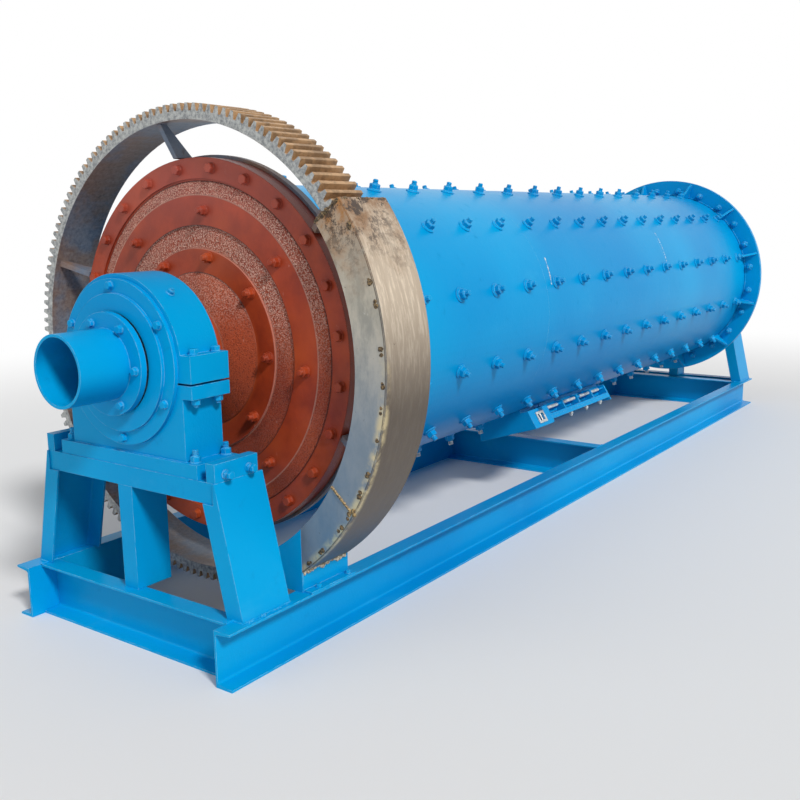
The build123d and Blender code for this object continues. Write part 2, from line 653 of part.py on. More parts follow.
def build():
    """All pieces by node name."""
    nodes = {
        "rail_right": rail(-1),
        "rail_left": rail(1),
        "feed_end_channel": cross_channel(
            FEED_BEARING_X - HALF_CHANNEL - FEED_CHANNEL_LEAD + CHANNEL_FLANGE, -1),
        "middle_channel": cross_channel(CHANNEL_FLANGE / 2, -1),
        "discharge_channel": cross_channel(DISCHARGE_CHANNEL_X, -1),
        "discharge_end_channel": cross_channel(RAIL_END - CHANNEL_FLANGE, 1),
    }
    ends = {
        "pedestal_top": pedestal_top(),
        "pedestal_leg_right": sloped_leg(-1),
        "pedestal_leg_left": sloped_leg(1),
        "pedestal_leg_middle": middle_leg(),
        "bearing_base": bearing_base(),
        "bearing_cap": bearing_cap(),
        "bearing_cover": bearing_cover(),
        "bearing_inner_cover": inner_cover(),
        "bearing_bush": bearing_bush(),
        "journal": journal(),
        "head": head(),
        "spout": spout(),
    }
    for name, shape in ends.items():
        nodes["feed_" + name] = shape
        nodes["discharge_" + name] = at_discharge(shape)
    blocks = chocks()
    nodes["bearing_chocks"] = Compound(blocks + [at_discharge(b) for b in blocks])
    for index in range(STRAKE_COUNT):
        nodes["shell_strake_%d" % (index + 1)] = cut_shell(strake(index))
    nodes["feed_flange"] = feed_flange()
    nodes["discharge_flange"] = discharge_flange()
    nodes["girth_gear_rim"] = gear_rim()
    nodes["girth_gear_spider"] = gear_spider()
    nodes["gear_guard_plate"] = guard_plate()
    nodes["gear_guard_hoop"] = guard_hoop()
    nodes["gear_guard_base"] = guard_base()
    nodes["gear_guard_foot"] = guard_foot()
    nodes["manhole_frame"] = manhole_frame()
    nodes["manhole_cover"] = manhole_cover()
    return nodes


def main():
    """Writes one STEP file for each piece."""
    os.makedirs("parts", exist_ok=True)
    for name, shape in build().items():
        export_step(shape, "parts/%s.step" % name)


main()
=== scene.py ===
"""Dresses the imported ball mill: finishes, bolts, studs, welds, floor, light and camera.

Lengths are metres in the mill's own frame: +X along the mill axis from the feed end to
the discharge end, -Y towards the guarded side of the girth gear, +Z up.  Angles round the
mill axis are degrees from +Y, with 90 straight up and 180 on the guarded side.
"""

import json
import logging
import math
import random
from dataclasses import dataclass, field
from enum import Enum
from typing import Callable, Optional, Sequence

import bmesh
import bpy
from mathutils import Matrix, Vector, noise


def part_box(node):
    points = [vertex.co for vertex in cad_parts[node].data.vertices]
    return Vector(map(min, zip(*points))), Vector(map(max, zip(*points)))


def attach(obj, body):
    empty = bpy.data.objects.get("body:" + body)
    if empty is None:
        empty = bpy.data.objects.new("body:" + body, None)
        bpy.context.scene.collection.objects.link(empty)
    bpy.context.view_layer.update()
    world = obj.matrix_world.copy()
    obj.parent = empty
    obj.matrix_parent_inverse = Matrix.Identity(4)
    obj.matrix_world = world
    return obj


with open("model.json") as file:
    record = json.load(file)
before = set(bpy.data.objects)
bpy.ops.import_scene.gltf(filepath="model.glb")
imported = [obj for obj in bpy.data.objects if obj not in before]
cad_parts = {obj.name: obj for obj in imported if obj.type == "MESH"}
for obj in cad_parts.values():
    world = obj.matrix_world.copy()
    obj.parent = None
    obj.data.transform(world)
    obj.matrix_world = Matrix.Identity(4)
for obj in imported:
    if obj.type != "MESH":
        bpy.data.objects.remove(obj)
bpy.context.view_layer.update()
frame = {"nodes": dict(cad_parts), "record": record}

LOG = logging.getLogger("ball_mill")
SEED = 11
RNG = random.Random(SEED)
FULL_TURN = 360.0
MM = 0.001
ALONG = Vector((1.0, 0.0, 0.0))
ACROSS = Vector((0.0, 1.0, 0.0))
UP = Vector((0.0, 0.0, 1.0))

Point = tuple[float, float, float]
Colour = tuple[float, float, float, float]
Socket = bpy.types.NodeSocket


class Body(str, Enum):
    """The bodies of the mill that a piece can ride on."""

    BASE = "base"
    DRUM = "drum"


class Slot(str, Enum):
    """The record's material slots."""

    BLUE = "blue_paint"
    RED = "red_primer"
    GEAR = "gear_steel"
    GUARD = "guard_sheet"
    JOURNAL = "bright_journal"
    BUSH = "bush_bronze"


def srgb(code: str) -> Colour:
    """Linear colour of a hex code.

    Args:
        code: Six hex digits, red first.

    Returns:
        Linear red, green, blue and full alpha.
    """
    values = []
    for start in (0, 2, 4):
        share = int(code[start:start + 2], 16) / 255
        values.append(share / 12.92 if share <= 0.04045 else ((share + 0.055) / 1.055) ** 2.4)
    return (values[0], values[1], values[2], 1.0)


def span(node: str, axis: int) -> tuple[float, float]:
    """Lowest and highest place of a CAD node along one axis.

    Args:
        node: Name of the CAD node.
        axis: 0, 1 or 2 for X, Y or Z.

    Returns:
        The two places in metres.
    """
    low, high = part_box(node)
    return low[axis], high[axis]


AXIS_Z = sum(span("feed_journal", 2)) / 2
SHELL_RADIUS = span("shell_strake_1", 2)[1] - AXIS_Z
FLANGE_BOLTS = (24, 7.5)
INNER_FLANGE_RADIUS = 0.652
OUTER_FLANGE_RADIUS = 0.668
HEAD_PLATE = 0.040


def outwards(angle: float) -> Vector:
    """Unit vector away from the mill axis at an angle round it."""
    turn = math.radians(angle)
    return Vector((0.0, math.cos(turn), math.sin(turn)))


def round_axis(x: float, radius: float, angle: float) -> Vector:
    """Point at a place along the mill, a radius and an angle round its axis."""
    return Vector((x, 0.0, AXIS_Z)) + outwards(angle) * radius


def seat(place: Vector, way: Vector, spin: float = 0.0) -> Matrix:
    """Matrix that stands a shape made along +Z on a place, pointing a way.

    Args:
        place: Where the shape's own origin goes.
        way: Direction its +Z takes.
        spin: Degrees turned about its own axis first.

    Returns:
        The placement matrix.
    """
    turn = way.to_track_quat("Z", "Y").to_matrix().to_4x4()
    return Matrix.Translation(place) @ turn @ Matrix.Rotation(math.radians(spin), 4, "Z")


class Board:
    """Node board of a material or world, with short ways to add the nodes that it needs."""

    def __init__(self, owner: bpy.types.ID) -> None:
        """Opens the board of a new material or world.

        Args:
            owner: The material or world.
        """
        owner.use_nodes = True
        self.owner = owner
        self.nodes = owner.node_tree.nodes
        self.links = owner.node_tree.links
        self.surface = self.nodes.get("Principled BSDF")
        self._place: Optional[Socket] = None
        self._rounded: Optional[Socket] = None

    @classmethod
    def named(cls, name: str) -> "Board":
        """Board of a new material."""
        return cls(bpy.data.materials.new(name))

    def add(self, kind: str, **settings: object) -> bpy.types.Node:
        """Adds a node and sets its properties.

        Args:
            kind: Blender's name of the node type.
            **settings: Properties of the node.

        Returns:
            The new node.
        """
        node = self.nodes.new(kind)
        for key, value in settings.items():
            setattr(node, key, value)
        return node

    def join(self, value: object, socket: Socket) -> None:
        """Links a socket to another, or sets it where the value is plain.

        Args:
            value: A socket to link from, or a plain value.
            socket: The input that takes it.
        """
        if isinstance(value, bpy.types.NodeSocket):
            self.links.new(value, socket)
        else:
            socket.default_value = value

    def place(self) -> Socket:
        """Object coordinates, one node for the whole board.

        Returns:
            The coordinates.
        """
        if self._place is None:
            self._place = self.add("ShaderNodeTexCoord").outputs["Object"]
        return self._place

    def part(self, axis: str) -> Socket:
        """One of the object coordinates, by its letter.

        Args:
            axis: Letter of the coordinate.

        Returns:
            The coordinate.
        """
        split = self.add("ShaderNodeSeparateXYZ")
        self.join(self.place(), split.inputs[0])
        return split.outputs[axis]

    def stretched(self, scale: Point, centre: Point = (0.0, 0.0, 0.0)) -> Socket:
        """Object coordinates about a centre, scaled along each axis.

        Args:
            scale: Factor along each axis.
            centre: Place that becomes zero.

        Returns:
            The scaled coordinates.
        """
        moved = self.add("ShaderNodeMapping", vector_type="POINT")
        self.join(self.place(), moved.inputs["Vector"])
        moved.inputs["Scale"].default_value = scale
        moved.inputs["Location"].default_value = tuple(-c * s for c, s in zip(centre, scale))
        return moved.outputs["Vector"]

    def noise(self, scale: float, detail: float = 4.0, rough: float = 0.55,
              where: Optional[Socket] = None) -> Socket:
        """Noise value at a scale in cells per metre.

        Args:
            scale: Cells per metre.
            detail: Number of finer layers.
            rough: Share that each finer layer adds.
            where: Coordinates to use in place of the object's own.

        Returns:
            Value from 0 to 1.
        """
        node = self.add("ShaderNodeTexNoise")
        self.join(where or self.place(), node.inputs["Vector"])
        node.inputs["Scale"].default_value = scale
        node.inputs["Detail"].default_value = detail
        node.inputs["Roughness"].default_value = rough
        return node.outputs["Fac"]

    def math(self, what: str, first: object, second: object = 0.0) -> Socket:
        """Result of a maths node on two values.

        Args:
            what: Blender's name of the operation.
            first: First value, plain or a socket.
            second: Second value, plain or a socket.

        Returns:
            The result.
        """
        node = self.add("ShaderNodeMath", operation=what)
        self.join(first, node.inputs[0])
        self.join(second, node.inputs[1])
        return node.outputs[0]

    def times(self, first: object, second: object) -> Socket:
        """Product of two values."""
        return self.math("MULTIPLY", first, second)

    def step(self, value: object, low: float, high: float) -> Socket:
        """Smooth step of a value from 0 at low to 1 at high.

        Args:
            value: The value.
            low: Where the step starts.
            high: Where it is complete.

        Returns:
            Share from 0 to 1.
        """
        node = self.add("ShaderNodeMapRange", interpolation_type="SMOOTHSTEP")
        self.join(value, node.inputs["Value"])
        node.inputs["From Min"].default_value = low
        node.inputs["From Max"].default_value = high
        return node.outputs["Result"]

    def fall(self, value: object, low: float, high: float) -> Socket:
        """Smooth step of a value from 1 at low to 0 at high."""
        return self.math("SUBTRACT", 1.0, self.step(value, low, high))

    def band(self, value: object, low: float, high: float, soft: float) -> Socket:
        """One between low and high, zero outside, with soft edges."""
        rise = self.step(value, low - soft, low + soft)
        return self.math("SUBTRACT", rise, self.step(value, high - soft, high + soft))

    def spots(self, scale: float, detail: float, rough: float, low: float, high: float,
              where: Optional[Socket] = None) -> Socket:
        """Spots of a noise: 0 where it is under low, 1 where it is over high."""
        return self.step(self.noise(scale, detail, rough, where), low, high)

    def blend(self, share: object, first: object, second: object) -> Socket:
        """Colour between two colours, by a share.

        Args:
            share: Share of the second colour.
            first: Colour at 0.
            second: Colour at 1.

        Returns:
            The mixed colour.
        """
        node = self.add("ShaderNodeMix", data_type="RGBA")
        self.join(share, node.inputs["Factor"])
        self.join(first, node.inputs[6])
        self.join(second, node.inputs[7])
        return node.outputs[2]

    def coat(self, colour: object, *layers: tuple[object, float, object]) -> Socket:
        """Lays tints over a colour, one after another.

        Args:
            colour: The colour below.
            *layers: Mask, share and tint of each layer.

        Returns:
            The colour on top.
        """
        for mask, share, tint in layers:
            colour = self.blend(self.times(mask, share), colour, tint)
        return colour

    def axis_radius(self) -> Socket:
        """Distance from the mill axis.

        Returns:
            The distance in metres.
        """
        flat = self.stretched((0.0, 1.0, 1.0), (0.0, 0.0, AXIS_Z))
        node = self.add("ShaderNodeVectorMath", operation="LENGTH")
        self.join(flat, node.inputs[0])
        return node.outputs["Value"]

    def rounded(self, radius: float) -> Socket:
        """Normal with its corners rounded to a radius.

        Args:
            radius: Radius of the corners.

        Returns:
            The normal.
        """
        if self._rounded is None:
            node = self.add("ShaderNodeBevel", samples=4)
            node.inputs["Radius"].default_value = radius
            self._rounded = node.outputs["Normal"]
        return self._rounded

    def corner(self, radius: float) -> Socket:
        """Share that rises from zero on a flat to one on a sharp edge.

        Args:
            radius: Radius that counts as an edge.

        Returns:
            The share.
        """
        flat = self.add("ShaderNodeNewGeometry").outputs["True Normal"]
        node = self.add("ShaderNodeVectorMath", operation="DOT_PRODUCT")
        self.join(self.rounded(radius), node.inputs[0])
        self.join(flat, node.inputs[1])
        return self.step(self.math("SUBTRACT", 1.0, node.outputs["Value"]), 0.02, 0.24)

    def bump(self, height: object, depth: float, corners: float = 0.0) -> None:
        """Feeds a height into the surface's normal.

        Args:
            height: Height from 0 to 1.
            depth: Metres that a height of 1 stands for.
            corners: Radius of rounded corners, none at zero.
        """
        node = self.add("ShaderNodeBump")
        self.join(height, node.inputs["Height"])
        node.inputs["Distance"].default_value = depth
        if corners:
            self.join(self.rounded(corners), node.inputs["Normal"])
        self.join(node.outputs["Normal"], self.surface.inputs["Normal"])

    def facing(self, axis: str) -> Socket:
        """One part of the direction that the surface faces, from -1 to 1.

        Args:
            axis: Letter of the part.

        Returns:
            The part.
        """
        split = self.add("ShaderNodeSeparateXYZ")
        flat = self.add("ShaderNodeNewGeometry").outputs["True Normal"]
        self.join(flat, split.inputs[0])
        return split.outputs[axis]

    def finish(self, colour: object, rough: object, metal: float = 0.0,
               shine: float = 0.5) -> bpy.types.Material:
        """Sets the surface's colour and gloss.

        Args:
            colour: Base colour, plain or a socket.
            rough: Roughness, plain or a socket.
            metal: Metallic share.
            shine: Specular level.

        Returns:
            The finished material.
        """
        self.join(colour, self.surface.inputs["Base Color"])
        self.join(rough, self.surface.inputs["Roughness"])
        self.surface.inputs["Metallic"].default_value = metal
        self.surface.inputs["Specular IOR Level"].default_value = shine
        return self.owner

    def seen(self) -> Socket:
        """One for camera, glossy and transmission rays, zero for all others.

        Returns:
            The share.
        """
        rays = self.add("ShaderNodeLightPath").outputs
        bounced = self.math("MAXIMUM", rays["Is Glossy Ray"], rays["Is Transmission Ray"])
        return self.math("MAXIMUM", rays["Is Camera Ray"], bounced)

    def show(self, share: Socket, first: Socket, second: Socket, output: str) -> None:
        """Sends a mix of two shaders to an output node.

        Args:
            share: Share of the second shader.
            first: Shader at 0.
            second: Shader at 1.
            output: Name of the output node.
        """
        mix = self.add("ShaderNodeMixShader")
        for value, socket in zip((share, first, second), mix.inputs):
            self.join(value, socket)
        self.join(mix.outputs[0], self.nodes[output].inputs["Surface"])


@dataclass(frozen=True)
class BlueEnamel:
    """Sky-blue machine enamel: brushed on, a little dusty, worn pale at corners, with painted
    shade on faces that look down.
    """

    name: str = "blue_enamel"
    lit: Colour = srgb("01A2DD")
    deep: Colour = srgb("018ECE")
    chalk: Colour = srgb("46B8E6")
    dirt: Colour = srgb("0B68A4")
    bare: Colour = srgb("A9DDF0")
    shade: Colour = srgb("0663A6")
    corner_radius: float = 3 * MM

    def make(self) -> bpy.types.Material:
        """Builds the material.

        Returns:
            The new material.
        """
        board = Board.named(self.name)
        broad = board.spots(0.8, 2.0, 0.55, 0.30, 0.70)
        runs = board.spots(6.0, 6.0, 0.6, 0.58, 0.80, board.stretched((0.4, 1.0, 1.0)))
        dust = board.spots(14.0, 8.0, 0.7, 0.58, 0.80)
        scuffs = board.spots(38.0, 9.0, 0.72, 0.70, 0.75, board.stretched((0.35, 1.0, 1.0)))
        chips = board.times(board.corner(self.corner_radius),
                            board.spots(26.0, 6.0, 0.65, 0.38, 0.58))
        # Painted shade: faces that look down take the shade colour.
        below = board.fall(board.facing("Z"), -0.75, 0.05)
        colour = board.coat(board.blend(broad, self.deep, self.lit), (runs, 0.25, self.chalk),
                            (dust, 0.28, self.dirt), (scuffs, 0.7, self.bare),
                            (chips, 0.75, self.bare), (below, 0.55, self.shade))
        rough = board.math("ADD", board.times(dust, 0.25), 0.30)
        skin = board.math("ADD", board.noise(120.0, 3.0), board.times(board.noise(9.0), 2.0))
        board.bump(skin, 0.6 * MM, self.corner_radius)
        return board.finish(colour, rough, shine=0.07)


@dataclass(frozen=True)
class RedPrimer:
    """Red oxide primer: smooth on the flare, salt-speckled on the cast bands of a head."""

    name: str = "red_primer"
    red: Colour = srgb("AE4322")
    dark: Colour = srgb("86301C")
    orange: Colour = srgb("C2562A")
    rose: Colour = srgb("B65A50")
    pale: Colour = srgb("E8BEAC")
    pit: Colour = srgb("4E1C14")
    bands: tuple[tuple[float, float], ...] = ((0.196, 0.289), (0.378, 0.460), (0.571, 0.620))
    edge: float = 3 * MM
    line: float = 2.4 * MM
    neck_edge: float = 20 * MM
    corner_radius: float = 4 * MM

    def salt(self, board: Board, radius: Socket, cast: Socket, neck: Socket) -> Socket:
        """Share of pale grains: most on the upper half, least on the neck's flare, a lean that is
        painted sky sheen.

        Args:
            board: The head's board.
            radius: Distance from the mill axis.
            cast: Share of the rough cast bands.
            neck: Share of the lower neck's flare, which carries a painted warm highlight.

        Returns:
            The share of grains.
        """
        # Painted sky sheen: the grains gather on the upper half.
        upper = board.step(board.part("Z"), AXIS_Z - 0.15, AXIS_Z + 0.25)
        inner = board.math("MAXIMUM", board.step(radius, self.bands[0][1], self.bands[1][0]), 0.6)
        salty = board.times(cast, board.math("MAXIMUM", board.times(upper, inner), 0.12))
        return board.times(salty, board.math("SUBTRACT", 1.0, board.times(neck, 0.85)))

    def make(self) -> bpy.types.Material:
        """Builds the material.

        Returns:
            The new material.
        """
        board = Board.named(self.name)
        radius, height = board.axis_radius(), board.part("Z")
        cloudy = board.spots(5.0, 6.0, 0.65, 0.34, 0.70)
        glow = board.spots(3.0, 3.0, 0.55, 0.45, 0.75)
        # Painted sky sheen: rosier towards the top of the head.
        upper = board.step(height, AXIS_Z + 0.3, AXIS_Z + 0.7)
        colour = board.coat(board.blend(cloudy, self.dark, self.red), (glow, 0.6, self.orange),
                            (upper, 0.5, self.rose))
        cast: object = 0.0
        for low, high in self.bands:
            cast = board.math("ADD", cast, board.band(radius, low, high, self.edge))
            # Painted shade: a dark line at each band's outer edge. Painted highlight: a pale line
            # at its inner edge, on the ring's lit chamfer.
            groove_shade = board.band(radius, high - self.line, high + self.line, MM)
            rim = board.band(radius, low - self.line, low + self.line, MM)
            colour = board.coat(colour, (groove_shade, 0.9, self.pit), (rim, 0.35, self.pale))
        # Painted warm highlight: the lower neck's flare turns orange and loses most of its
        # grains.
        flare = self.bands[0][1]
        neck = board.times(board.fall(radius, flare, flare + self.neck_edge),
                           board.fall(height, AXIS_Z + 0.06, AXIS_Z + 0.20))
        grains = board.noise(200.0, 4.0, 0.75)
        light = board.times(board.step(grains, 0.48, 0.55), self.salt(board, radius, cast, neck))
        pits = board.times(board.spots(190.0, 3.0, 0.7, 0.54, 0.62), cast)
        rubbed = board.spots(30.0, 7.0, 0.7, 0.66, 0.74, board.stretched((1.0, 1.0, 0.5)))
        colour = board.coat(colour, (neck, 0.45, self.orange), (light, 0.85, self.pale),
                            (pits, 0.7, self.pit), (rubbed, 0.35, self.pale))
        board.bump(board.times(grains, board.math("ADD", cast, 0.10)), 6.0 * MM,
                   self.corner_radius)
        return board.finish(colour, board.math("ADD", board.times(cast, 0.12), 0.36), shine=0.3)


@dataclass(frozen=True)
class GearSteel:
    """Cut gear steel: grey machined faces, rusty dust and painted bluish shade in the bore, tan
    teeth.
    """

    name: str = "gear_steel"
    pale: Colour = srgb("B9BBB8")
    grey: Colour = srgb("74777A")
    brown: Colour = srgb("7E5E4A")
    bore_shade: Colour = srgb("5E6E84")
    tan: Colour = srgb("C39A6B")
    ochre: Colour = srgb("8F6C44")
    grease: Colour = srgb("37322F")
    rim_bore: float = 0.831
    tooth_root: float = 0.861

    def make(self) -> bpy.types.Material:
        """Builds the material.

        Returns:
            The new material.
        """
        board = Board.named(self.name)
        radius = board.axis_radius()
        mottled = board.spots(70.0, 8.0, 0.75, 0.36, 0.62)
        inside = board.fall(radius, self.rim_bore - MM, self.rim_bore + 2 * MM)
        # Painted bluish shade mixed with rusty brown over the bore.
        bore = board.blend(board.spots(3.2, 5.0, 0.6, 0.42, 0.58), self.brown, self.bore_shade)
        teeth = board.times(board.step(radius, self.tooth_root - 2 * MM, self.tooth_root + MM),
                            board.fall(board.math("ABSOLUTE", board.facing("X")), 0.4, 0.7))
        flank = board.blend(board.spots(16.0, 7.0, 0.7, 0.40, 0.60), self.ochre, self.tan)
        blots = board.spots(24.0, 7.0, 0.7, 0.60, 0.72)
        colour = board.coat(board.blend(mottled, self.grey, self.pale), (inside, 0.85, bore),
                            (teeth, 0.9, flank), (blots, 0.55, self.grease))
        board.bump(board.noise(240.0, 4.0), 0.5 * MM, 1.5 * MM)
        rough = board.math("ADD", board.times(mottled, 0.18), 0.40)
        return board.finish(colour, rough, metal=0.25)


@dataclass(frozen=True)
class SheetSteel:
    """Bare rolled sheet: streaked, dusty, heat-coloured at its burnt upper end, with painted
    shade towards the bottom.
    """

    name: str
    clean: Colour
    streak: Colour
    lower_shade: Colour
    streak_scale: Point
    streak_share: float = 1.0
    heat: Colour = srgb("A06C34")
    scorch: Colour = srgb("33261F")
    pale: Colour = srgb("D8D2C4")
    cream: Colour = srgb("D9C79A")
    heat_from: float = 1.27
    heat_full: float = 1.54
    lower_shade_full: float = 0.35
    lower_shade_from: float = 0.95
    lower_shade_share: float = 0.75
    joint_x: float = -2.603
    joint_radius: float = 0.922
    joint_near: float = 0.008
    joint_far: float = 0.034
    joint_line: float = 4.5 * MM

    def from_joint(self, board: Board) -> Socket:
        """Distance from the joint of the front sheet and the hoop.

        Args:
            board: The sheet's board.

        Returns:
            The distance in metres.
        """
        along = board.math("SUBTRACT", board.part("X"), self.joint_x)
        out = board.math("SUBTRACT", board.axis_radius(), self.joint_radius)
        square = board.math("ADD", board.times(along, along), board.times(out, out))
        return board.math("SQRT", square)

    def make(self) -> bpy.types.Material:
        """Builds the material.

        Returns:
            The new material.
        """
        board = Board.named(self.name)
        height, away = board.part("Z"), self.from_joint(board)
        drawn = board.stretched(self.streak_scale)
        streaks = board.math("MAXIMUM", board.spots(18.0, 9.0, 0.70, 0.34, 0.64, drawn),
                             1.0 - self.streak_share)
        wide = board.spots(3.0, 4.0, 0.6, 0.42, 0.64, drawn)
        rubs = board.spots(24.0, 9.0, 0.75, 0.60, 0.70)
        # Painted shade and reflection: darker towards the bottom.
        lower_shade_mask = board.fall(height, self.lower_shade_full, self.lower_shade_from)
        blotched = board.times(board.fall(height, 0.80, 1.20),
                               board.spots(16.0, 7.0, 0.7, 0.38, 0.62))
        welded = board.times(board.fall(away, self.joint_near, self.joint_far), blotched)
        gap = board.times(board.fall(away, self.joint_line * 0.6, self.joint_line),
                          board.spots(30.0, 5.0, 0.7, 0.32, 0.46))
        ragged = board.math("ADD", height, board.times(board.noise(7.0, 7.0, 0.65), 0.40))
        hot = board.step(ragged, self.heat_from + 0.20, self.heat_full + 0.20)
        patch = board.times(board.spots(13.0, 6.0, 0.7, 0.40, 0.60), 0.55)
        heated = board.times(hot, board.math("ADD", patch, 0.40))
        burnt = board.times(board.spots(19.0, 8.0, 0.78, 0.47, 0.56), hot)
        specks = board.spots(55.0, 8.0, 0.7, 0.66, 0.72)
        colour = board.coat(board.blend(streaks, self.streak, self.clean),
                            (wide, 0.55 * self.streak_share, self.streak),
                            (rubs, 0.5, self.pale), (lower_shade_mask, self.lower_shade_share, self.lower_shade),
                            (welded, 0.85, self.cream), (gap, 0.85, self.scorch),
                            (heated, 1.0, self.heat), (burnt, 0.9, self.scorch),
                            (specks, 0.6, self.scorch))
        board.bump(board.noise(90.0, 5.0), 0.5 * MM, 1.5 * MM)
        rough = board.math("ADD", board.times(streaks, 0.12), 0.34)
        return board.finish(colour, rough, metal=0.35)


@dataclass(frozen=True)
class WorkedMetal:
    """Bare metal with fine grain: journals, bushes, weld metal, zinc and threads."""

    name: str
    bright: Colour
    dull: Colour
    rough: float = 0.3
    metal: float = 0.8
    grain: float = 70.0

    def make(self) -> bpy.types.Material:
        """Builds the material.

        Returns:
            The new material.
        """
        board = Board.named(self.name)
        share = board.spots(self.grain, 6.0, 0.65, 0.38, 0.64)
        board.bump(board.noise(self.grain * 3, 4.0), 0.4 * MM, MM)
        rough = board.math("ADD", board.times(share, 0.15), self.rough)
        return board.finish(board.blend(share, self.dull, self.bright), rough, metal=self.metal)


class Paintshop:
    """Makes each finish once and puts it on the CAD nodes."""

    def __init__(self) -> None:
        """Builds every finish."""
        self.blue = BlueEnamel().make()
        self.red = RedPrimer().make()
        self.gear = GearSteel().make()
        self.front_sheet = SheetSteel("guard_front", srgb("C4BAA8"), srgb("989488"),
                                      srgb("6C8296"), (1.0, 0.9, 0.4), lower_shade_full=0.75,
                                      lower_shade_from=1.30).make()
        # Same sheet as the front, with paler and warmer clean colours: painted sunlight on the
        # hoop.
        self.sunlit_hoop_sheet = SheetSteel("guard_hoop", srgb("E4D4BE"), srgb("A08C76"),
                                     srgb("41372E"), (5.0, 0.6, 0.6), 0.5, heat=srgb("8E6A48"),
                                     heat_from=1.32, heat_full=1.53, lower_shade_full=0.84,
                                     lower_shade_from=1.32, lower_shade_share=0.88).make()
        self.journal = WorkedMetal("journal_steel", srgb("B4B4B0"), srgb("8E8B86")).make()
        self.bush = WorkedMetal("bush_bronze", srgb("B08A4C"), srgb("8A6A38")).make()
        self.weld = WorkedMetal("weld_metal", srgb("B79A68"), srgb("40352C"), rough=0.45,
                                metal=0.4, grain=160.0).make()
        self.tack = WorkedMetal("tack_metal", srgb("8C7450"), srgb("2E2620"), rough=0.45,
                                metal=0.4, grain=160.0).make()
        self.zinc = WorkedMetal("zinc_plate", srgb("E2E6E4"), srgb("AEB4B4"), rough=0.35,
                                metal=0.4).make()
        self.slag = WorkedMetal("white_slag", srgb("E6DCC6"), srgb("8A7A62"), rough=0.5,
                                metal=0.1, grain=120.0).make()

    def dress_nodes(self) -> None:
        """Gives every CAD node the finish of its slot."""
        finishes = {Slot.BLUE: self.blue, Slot.RED: self.red, Slot.GEAR: self.gear,
                    Slot.GUARD: self.front_sheet, Slot.JOURNAL: self.journal,
                    Slot.BUSH: self.bush}
        own = {"gear_guard_hoop": self.sunlit_hoop_sheet}
        for part in frame["record"]["subparts"]:
            name = part["node"]
            finish = own.get(name, finishes[Slot(part["material_slot"])])
            for holder in frame["nodes"][name].material_slots:
                holder.link = "OBJECT"
                holder.material = finish


def piece(name: str, work: bmesh.types.BMesh, finish: bpy.types.Material, body: Body,
          smooth_below: float = 32.0) -> bpy.types.Object:
    """Turns a finished bmesh into a piece that rides on a body.

    Args:
        name: Name of the piece.
        work: Its mesh, in the mill's frame; it is freed.
        finish: Material of the piece.
        body: Body it rides on.
        smooth_below: Edges turning by fewer degrees than this are shaded smooth.

    Returns:
        The new object.
    """
    bmesh.ops.recalc_face_normals(work, faces=work.faces)
    limit = math.radians(smooth_below)
    for face in work.faces:
        face.smooth = True
    for edge in work.edges:
        if len(edge.link_faces) == 2 and edge.calc_face_angle(0.0) > limit:
            edge.smooth = False
    mesh = bpy.data.meshes.new(name)
    work.to_mesh(mesh)
    work.free()
    mesh.materials.append(finish)
    made = bpy.data.objects.new(name, mesh)
    bpy.context.scene.collection.objects.link(made)
    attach(made, body.value)
    LOG.info("%s: %d faces", name, len(mesh.polygons))
    return made


def stamp(work: bmesh.types.BMesh, pattern: bpy.types.Mesh, where: Matrix) -> None:
    """Adds a copy of a pattern mesh at a place.

    Args:
        work: The mesh that grows.
        pattern: The mesh to copy.
        where: Placement of the copy.
    """
    before = len(work.verts)
    work.from_mesh(pattern)
    work.verts.ensure_lookup_table()
    bmesh.ops.transform(work, matrix=where, verts=work.verts[before:])


def pattern_of(name: str, build: Callable[[bmesh.types.BMesh], None]) -> bpy.types.Mesh:
    """Mesh of one small part, to be stamped many times.

    Args:
        name: Name of the mesh.
        build: Function that fills the bmesh, along +Z from the seat at zero.

    Returns:
        The pattern mesh.
    """
    work = bmesh.new()
    build(work)
    bmesh.ops.recalc_face_normals(work, faces=work.faces)
    mesh = bpy.data.meshes.new(name)
    work.to_mesh(mesh)
    work.free()
    return mesh


def add_turned(work: bmesh.types.BMesh, profile: Sequence[tuple[float, float]],
               steps: int) -> None:
    """Adds a closed solid turned about Z.

    Args:
        work: The mesh that grows.
        profile: Radius and height of each point, from the axis back to the axis.
        steps: Number of sides.
    """
    before = set(work.verts)
    spots = [work.verts.new((radius, 0.0, height)) for radius, height in profile]
    lines = [work.edges.new(pair) for pair in zip(spots, spots[1:])]
    bmesh.ops.spin(work, geom=spots + lines, cent=(0, 0, 0), axis=(0, 0, 1), dvec=(0, 0, 0),
                   angle=math.tau, steps=steps, use_merge=True)
    fresh = [v for v in work.verts if v not in before]
    bmesh.ops.remove_doubles(work, verts=fresh, dist=1e-6)
    ends = [v for v in work.verts if v not in before and v.co.xy.length < 1e-6]
    bmesh.ops.dissolve_verts(work, verts=ends)


def add_hexagon(work: bmesh.types.BMesh, across: float, low: float, high: float) -> None:
    """Adds a hexagon prism with its top edges chamfered.

    Args:
        work: The mesh that grows.
        across: Width across the flats.
        low: Height of the bottom.
        high: Height of the top.
    """
    middle = (low + high) / 2
    made = bmesh.ops.create_cone(work, cap_ends=True, segments=6,
                                 radius1=across / math.sqrt(3), radius2=across / math.sqrt(3),
                                 depth=high - low, matrix=Matrix.Translation((0, 0, middle)))
    top = [v for v in made["verts"] if v.co.z > middle]
    rim = dict.fromkeys(e for v in top for e in v.link_edges if e.other_vert(v) in top)
    bmesh.ops.bevel(work, geom=list(rim), offset=across * 0.07, offset_type="OFFSET",
                    segments=1, profile=0.5, affect="EDGES", material=-1)


